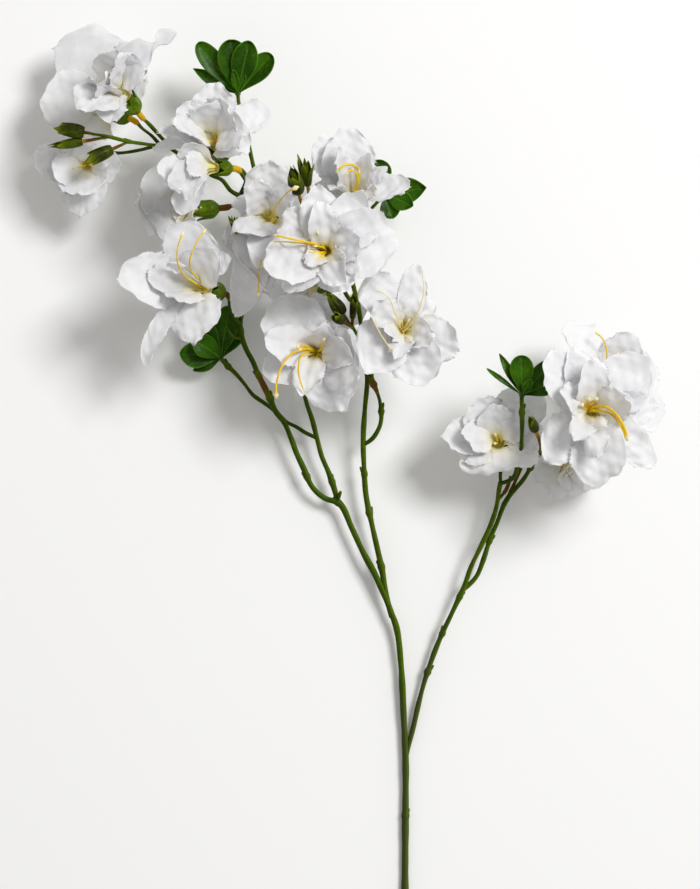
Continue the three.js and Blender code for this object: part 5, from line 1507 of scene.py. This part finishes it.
def plastic_material(
    name, base, dark, mottle, tip=None, rough=0.35, coat=0.2, scales=(60, 400), bump=0.25,
):
    """Moulded plastic: two mottled colours, fine bumps and a soft gloss. tip: a third colour, and the
    mask where it starts and where it is full. scales: of the two noises that mottle the colour. Gives
    the material, the writer for its nodes, its shader and its colour."""
    material, nodes, shader = new_material(
        name, Coat_Weight=coat, Coat_Roughness=0.2, Specular_IOR_Level=0.06,
        Subsurface_Weight=0.08, Subsurface_Scale=0.002,
    )
    coarse, fine = scales
    share = nodes.add("ShaderNodeGroup", _node_tree=mottle, Scale=coarse, Fine=fine).outputs["Share"]
    colour = nodes.mix(share, base, dark)
    if tip:
        third, start, full = tip
        colour = nodes.mix(nodes.ease(nodes.mask(), start, full), colour, third)
    nodes.join(colour, shader, "Base Color")
    nodes.join(nodes.plus(rough, share, 0.16), shader, "Roughness")
    grain = nodes.noise(nodes.place(), scale=700, detail=3, rough=0.6)
    relief = nodes.add("ShaderNodeBump", Height=grain, Strength=bump, Distance=0.0005)
    nodes.join(relief.outputs["Normal"], shader, "Normal")
    return material, nodes, shader, colour


# Where each further colour of a stem starts and where it is full, in its mask, and the same for the
# painted light on its right flank, the side the key light falls on, in U on its map.
OLIVE_RANGE = (0.02, 0.4)
GREY_RANGE = (-0.1, -0.9)
BROWN_RANGE = (0.45, 0.9)
GOLD_RANGE = (1.2, 1.8)
LIT_FLANK_RANGE = (0.55, 0.95)


def stem_material(settings, mottle):
    """Green moulded stem, olive in patches, grey where its mask nears -1, brown where it nears 1 and
    golden where it nears 2, with painted light on its right flank, where the key light falls."""
    material, nodes, shader, colour = plastic_material(
        "Moulded stem", settings.stem_colour[:], settings.stem_dark[:], mottle, rough=0.5, coat=0.02,
        scales=(45, 260), bump=0.5,
    )
    grain = nodes.noise(nodes.place(), scale=320, detail=3, rough=0.6)
    mask = nodes.plus(nodes.mask(), nodes.math("SUBTRACT", grain, 0.5), 0.5)
    # Painted light: the right side of each stem, towards the key light, is mixed towards a brighter green.
    flank = nodes.ease(nodes.plus(nodes.part(nodes.uv(), 0), grain, 0.2), *LIT_FLANK_RANGE)
    for share, over in (
        (nodes.ease(mask, *OLIVE_RANGE), settings.olive_colour),
        (nodes.ease(mask, *GREY_RANGE), settings.grey_colour),
        (nodes.math("MULTIPLY", flank, 0.45), settings.lit_flank_colour),
        (nodes.ease(mask, *BROWN_RANGE), settings.sheath_colour),
        (nodes.ease(mask, *GOLD_RANGE), settings.gold_colour),
    ):
        colour = nodes.mix(share, colour, over[:])
    nodes.join(colour, shader, "Base Color")
    return material


# The settings that a user would change


def colour_property(name, description, value):
    """A colour that a user can change."""
    return bpy.props.FloatVectorProperty(
        name=name, description=description, subtype="COLOR", size=4, min=0, max=1, default=(*value, 1),
    )


class AzaleaBloomSettings(bpy.types.PropertyGroup):
    """Petals and stamens"""
    petal_thickness: bpy.props.FloatProperty(
        name="Petal thickness", description="Thickness of the stiffened fabric", default=0.00032,
        min=0.0001, unit="LENGTH",
    )
    glow: bpy.props.FloatProperty(
        name="Glow", description="Share of light that spreads inside the fabric", default=0.25,
        min=0, max=1, subtype="FACTOR",
    )
    extra_filaments: bpy.props.IntProperty(
        name="Extra filaments", description="Short filaments round the long ones", default=4, min=0,
    )
    petal_colour: colour_property("Petal", "Fabric of the blades", (0.82, 0.82, 0.835))
    petal_shade: colour_property("Petal shade", "Greyer patches of the blades", (0.755, 0.755, 0.78))
    cream_colour: colour_property("Cream", "Fabric near the throat", (0.86, 0.83, 0.70))
    throat_colour: colour_property("Throat", "Fabric deep in the throat", (0.84, 0.72, 0.14))
    filament_colour: colour_property("Filament", "Stalks of the stamens", (0.86, 0.66, 0.03))
    filament_shade: colour_property("Filament shade", "Deeper yellow of the stamens", (0.78, 0.48, 0.01))
    anther_colour: colour_property("Anther", "Tips of the stamens", (0.88, 0.82, 0.45))


class AzaleaGreenSettings(bpy.types.PropertyGroup):
    """Calyces, leaves, stems and buds"""
    leaf_thickness: bpy.props.FloatProperty(
        name="Leaf thickness", description="Thickness of the leaves", default=0.00045, min=0.0001,
        unit="LENGTH",
    )
    calyx_colour: colour_property("Calyx", "Bright green of the calyces", (0.125, 0.205, 0.003))
    calyx_dark: colour_property("Calyx shade", "Dark green of the calyces", (0.042, 0.08, 0.001))
    leaf_colour: colour_property("Leaf", "Green of the leaves", (0.036, 0.125, 0.001))
    leaf_dark: colour_property("Leaf shade", "Dark green of the leaves", (0.013, 0.05, 0.0008))
    rib_colour: colour_property("Midrib", "Paler green of the midribs", (0.10, 0.26, 0.01))
    stem_colour: colour_property("Stem", "Green of the stems", (0.036, 0.082, 0.001))
    stem_dark: colour_property("Stem shade", "Darker green of the stems", (0.026, 0.052, 0.0008))
    grey_colour: colour_property("Grey green", "Older lengths of the stems", (0.038, 0.052, 0.012))
    # Painted light on the right side of the stems, where the key light falls.
    lit_flank_colour: colour_property("Light flank", "Brighter side of the stems", (0.13, 0.20, 0.003))
    olive_colour: colour_property("Olive", "Yellower patches of the stems", (0.10, 0.12, 0.003))
    sheath_colour: colour_property("Sheath", "Brown stretches of the stems", (0.13, 0.062, 0.006))
    gold_colour: colour_property("Gold", "Golden ends of the flower stalks", (0.60, 0.36, 0.01))
    bud_colour: colour_property("Bud", "Green of the buds", (0.065, 0.095, 0.002))
    bud_dark: colour_property("Bud shade", "Dark brown green of the buds", (0.02, 0.018, 0.002))
    bract_colour: colour_property("Bract tip", "Yellow green of the bracts' tips", (0.19, 0.25, 0.004))


class AzaleaStageSettings(bpy.types.PropertyGroup):
    """Floor and lights"""
    floor_colour: colour_property("Floor", "Plain pale floor", (0.93, 0.93, 0.93))
    key_power: bpy.props.FloatProperty(
        name="Key light", description="Power of the main light", default=112, min=0, unit="POWER",
    )
    sky: bpy.props.FloatProperty(
        name="Sky", description="Strength of the light all round", default=0.45, min=0,
    )


# The stage, in metres

FLOOR_SIZE = 8
LIGHT_PLACE = (1.9, 1.5, 3.1)
LIGHT_TARGET = (-0.05, 0.1, 0.03)
LIGHT_SIZE = 1.2
SKY_COLOUR = (1, 0.985, 0.955, 1)


def turn_to(place, target):
    """The turn, as Euler angles, that points a light's -Z from a place to a target."""
    towards = np.subtract(target, place)
    towards /= np.linalg.norm(towards)
    return np.arccos(-towards[2]), 0, np.arctan2(towards[0], -towards[1]) + np.pi


# Operators


class AZALEA_OT_blooms(bpy.types.Operator):
    """Builds the petals of every bloom"""
    bl_idname = "azalea.blooms"
    bl_label = "Petals"

    def execute(self, context):
        settings = context.scene.azalea_blooms
        material = petal_material(settings, weave_group(), mottle_group())
        for name, bloom in BLOOMS.items():
            petals = [
                petal_surface(name, whorl, index, petal)
                for key, whorl in WHORLS.items() for index, petal in enumerate(petals_of(name, key))
            ]
            piece = make_piece(
                f"petals_{name}", [*petals, throat_surface(bloom)], material, [f"corolla_{name}"],
            )
            thicken(piece, settings.petal_thickness)
        return {"FINISHED"}


class AZALEA_OT_stamens(bpy.types.Operator):
    """Builds the stamens of every bloom"""
    bl_idname = "azalea.stamens"
    bl_label = "Stamens"

    def execute(self, context):
        settings = context.scene.azalea_blooms
        material = plastic_material(
            "Stamen", settings.filament_colour[:], settings.filament_shade[:],
            bpy.data.node_groups["Mottle"], tip=(settings.anther_colour[:], 0.3, 0.8),
        )[0]
        for name in BLOOMS:
            surfaces = stamen_surfaces(name, settings)
            make_piece(f"filaments_{name}", surfaces, material, [f"stamens_{name}"])
        return {"FINISHED"}


class AZALEA_OT_calyces(bpy.types.Operator):
    """Builds the calyx behind every bloom"""
    bl_idname = "azalea.calyces"
    bl_label = "Calyces"

    def execute(self, context):
        settings = context.scene.azalea_greens
        material = plastic_material(
            "Calyx", settings.calyx_colour[:], settings.calyx_dark[:], bpy.data.node_groups["Mottle"],
            tip=(settings.calyx_dark[:], 0.5, 1.1), rough=0.28, coat=0.10,
        )[0]
        for name, bloom in BLOOMS.items():
            make_piece(f"sepals_{name}", [calyx_surface(bloom)], material, [f"calyx_{name}"])
        return {"FINISHED"}


class AZALEA_OT_stems(bpy.types.Operator):
    """Builds the moulded stems and the buds on them"""
    bl_idname = "azalea.stems"
    bl_label = "Stems and buds"

    def execute(self, context):
        settings = context.scene.azalea_greens
        mottle = bpy.data.node_groups["Mottle"]
        bark = stem_material(settings, mottle)
        skin = plastic_material(
            "Bud", settings.bud_colour[:], settings.bud_dark[:], mottle,
            tip=(settings.bract_colour[:], 0.4, 1.1), rough=0.3, coat=0.06,
        )[0]
        for name, entries in STEMS.items():
            tubes = [stem_surface(entry) if "route" in entry else bud_stalk(entry) for entry in entries]
            stems = [entry for entry in entries if "route" in entry]
            tubes += [scale for entry in stems for scale in scale_surfaces(entry)]
            make_piece(f"{name}_moulded", tubes, bark, [name])
            buds = [surface for entry in entries if "bud" in entry for surface in bud_surfaces(entry)]
            if buds:
                make_piece(f"{name}_buds", buds, skin, [name])
        return {"FINISHED"}


class AZALEA_OT_leaves(bpy.types.Operator):
    """Builds the rosettes of leaves"""
    bl_idname = "azalea.leaves"
    bl_label = "Leaves"

    def execute(self, context):
        settings = context.scene.azalea_greens
        material = plastic_material(
            "Leaf", settings.leaf_colour[:], settings.leaf_dark[:], bpy.data.node_groups["Mottle"],
            tip=(settings.rib_colour[:], 0.2, 1.2), rough=0.3, coat=0.07, bump=0.15,
        )[0]
        for name, entry in ROSETTES.items():
            blades, hub = rosette_surfaces(entry)
            leaves = make_piece(f"{name}_blades", blades, material, [name])
            thicken(leaves, settings.leaf_thickness)
            make_piece(f"{name}_hub", [hub], material, [name])
        return {"FINISHED"}


class AZALEA_OT_stage(bpy.types.Operator):
    """Builds the floor, the lights and the camera that looks down on the branch"""
    bl_idname = "azalea.stage"
    bl_label = "Stage"

    def execute(self, context):
        settings = context.scene.azalea_stage
        bpy.ops.mesh.primitive_plane_add(size=FLOOR_SIZE)
        floor = context.object
        floor.name = "floor"
        material, _, shader = new_material("Floor", Roughness=0.9, Specular_IOR_Level=0)
        shader.inputs["Base Color"].default_value = settings.floor_colour
        floor.data.materials.append(material)
        lamp = bpy.data.lights.new("key_light", "AREA")
        lamp.size = LIGHT_SIZE
        lamp.energy = settings.key_power
        light = bpy.data.objects.new("key_light", lamp)
        light.location = LIGHT_PLACE
        light.rotation_euler = turn_to(LIGHT_PLACE, LIGHT_TARGET)
        context.collection.objects.link(light)
        world = bpy.data.worlds.new("Studio")
        world.use_nodes = True
        sky = world.node_tree.nodes["Background"].inputs
        sky["Color"].default_value = SKY_COLOUR
        sky["Strength"].default_value = settings.sky
        context.scene.world = world
        camera = bpy.data.cameras.new("camera")
        camera.sensor_width = SENSOR
        camera.lens = SENSOR * (EYE_HEIGHT - UNIT_HEIGHT) / (VIEW_HEIGHT * UNIT)
        eye = bpy.data.objects.new("camera", camera)
        eye.location = (np.array([SHIFT[0], SHIFT[1], EYE_HEIGHT]) * MILLIMETRE).tolist()
        context.collection.objects.link(eye)
        context.scene.camera = eye
        context.scene.view_settings.view_transform = "Standard"
        return {"FINISHED"}


class AZALEA_PT_panel(bpy.types.Panel):
    """The sizes and colours of the branch and the steps that build it"""
    bl_idname = "AZALEA_PT_panel"
    bl_label = "Azalea Branch"
    bl_space_type = "VIEW_3D"
    bl_region_type = "UI"
    bl_category = "Azalea"

    def draw(self, context):
        for name, group in GROUPS.items():
            box = self.layout.box()
            for setting in group.__annotations__:
                box.prop(getattr(context.scene, name), setting)
        for operator in OPERATORS:
            self.layout.operator(operator.bl_idname)


OPERATORS = (
    AZALEA_OT_blooms, AZALEA_OT_stamens, AZALEA_OT_calyces, AZALEA_OT_stems, AZALEA_OT_leaves,
    AZALEA_OT_stage,
)
GROUPS = {
    "azalea_blooms": AzaleaBloomSettings,
    "azalea_greens": AzaleaGreenSettings,
    "azalea_stage": AzaleaStageSettings,
}


def register():
    for made in (*GROUPS.values(), *OPERATORS, AZALEA_PT_panel):
        bpy.utils.register_class(made)
    for name, group in GROUPS.items():
        setattr(bpy.types.Scene, name, bpy.props.PointerProperty(type=group))


def unregister():
    for name in GROUPS:
        delattr(bpy.types.Scene, name)
    for made in (AZALEA_PT_panel, *reversed(OPERATORS), *reversed(GROUPS.values())):
        bpy.utils.unregister_class(made)


def main():
    """Builds every piece and the stage."""
    register()
    bpy.ops.azalea.blooms()
    bpy.ops.azalea.stamens()
    bpy.ops.azalea.calyces()
    bpy.ops.azalea.stems()
    bpy.ops.azalea.leaves()
    bpy.ops.azalea.stage()


if __name__ == "__main__":
    main()
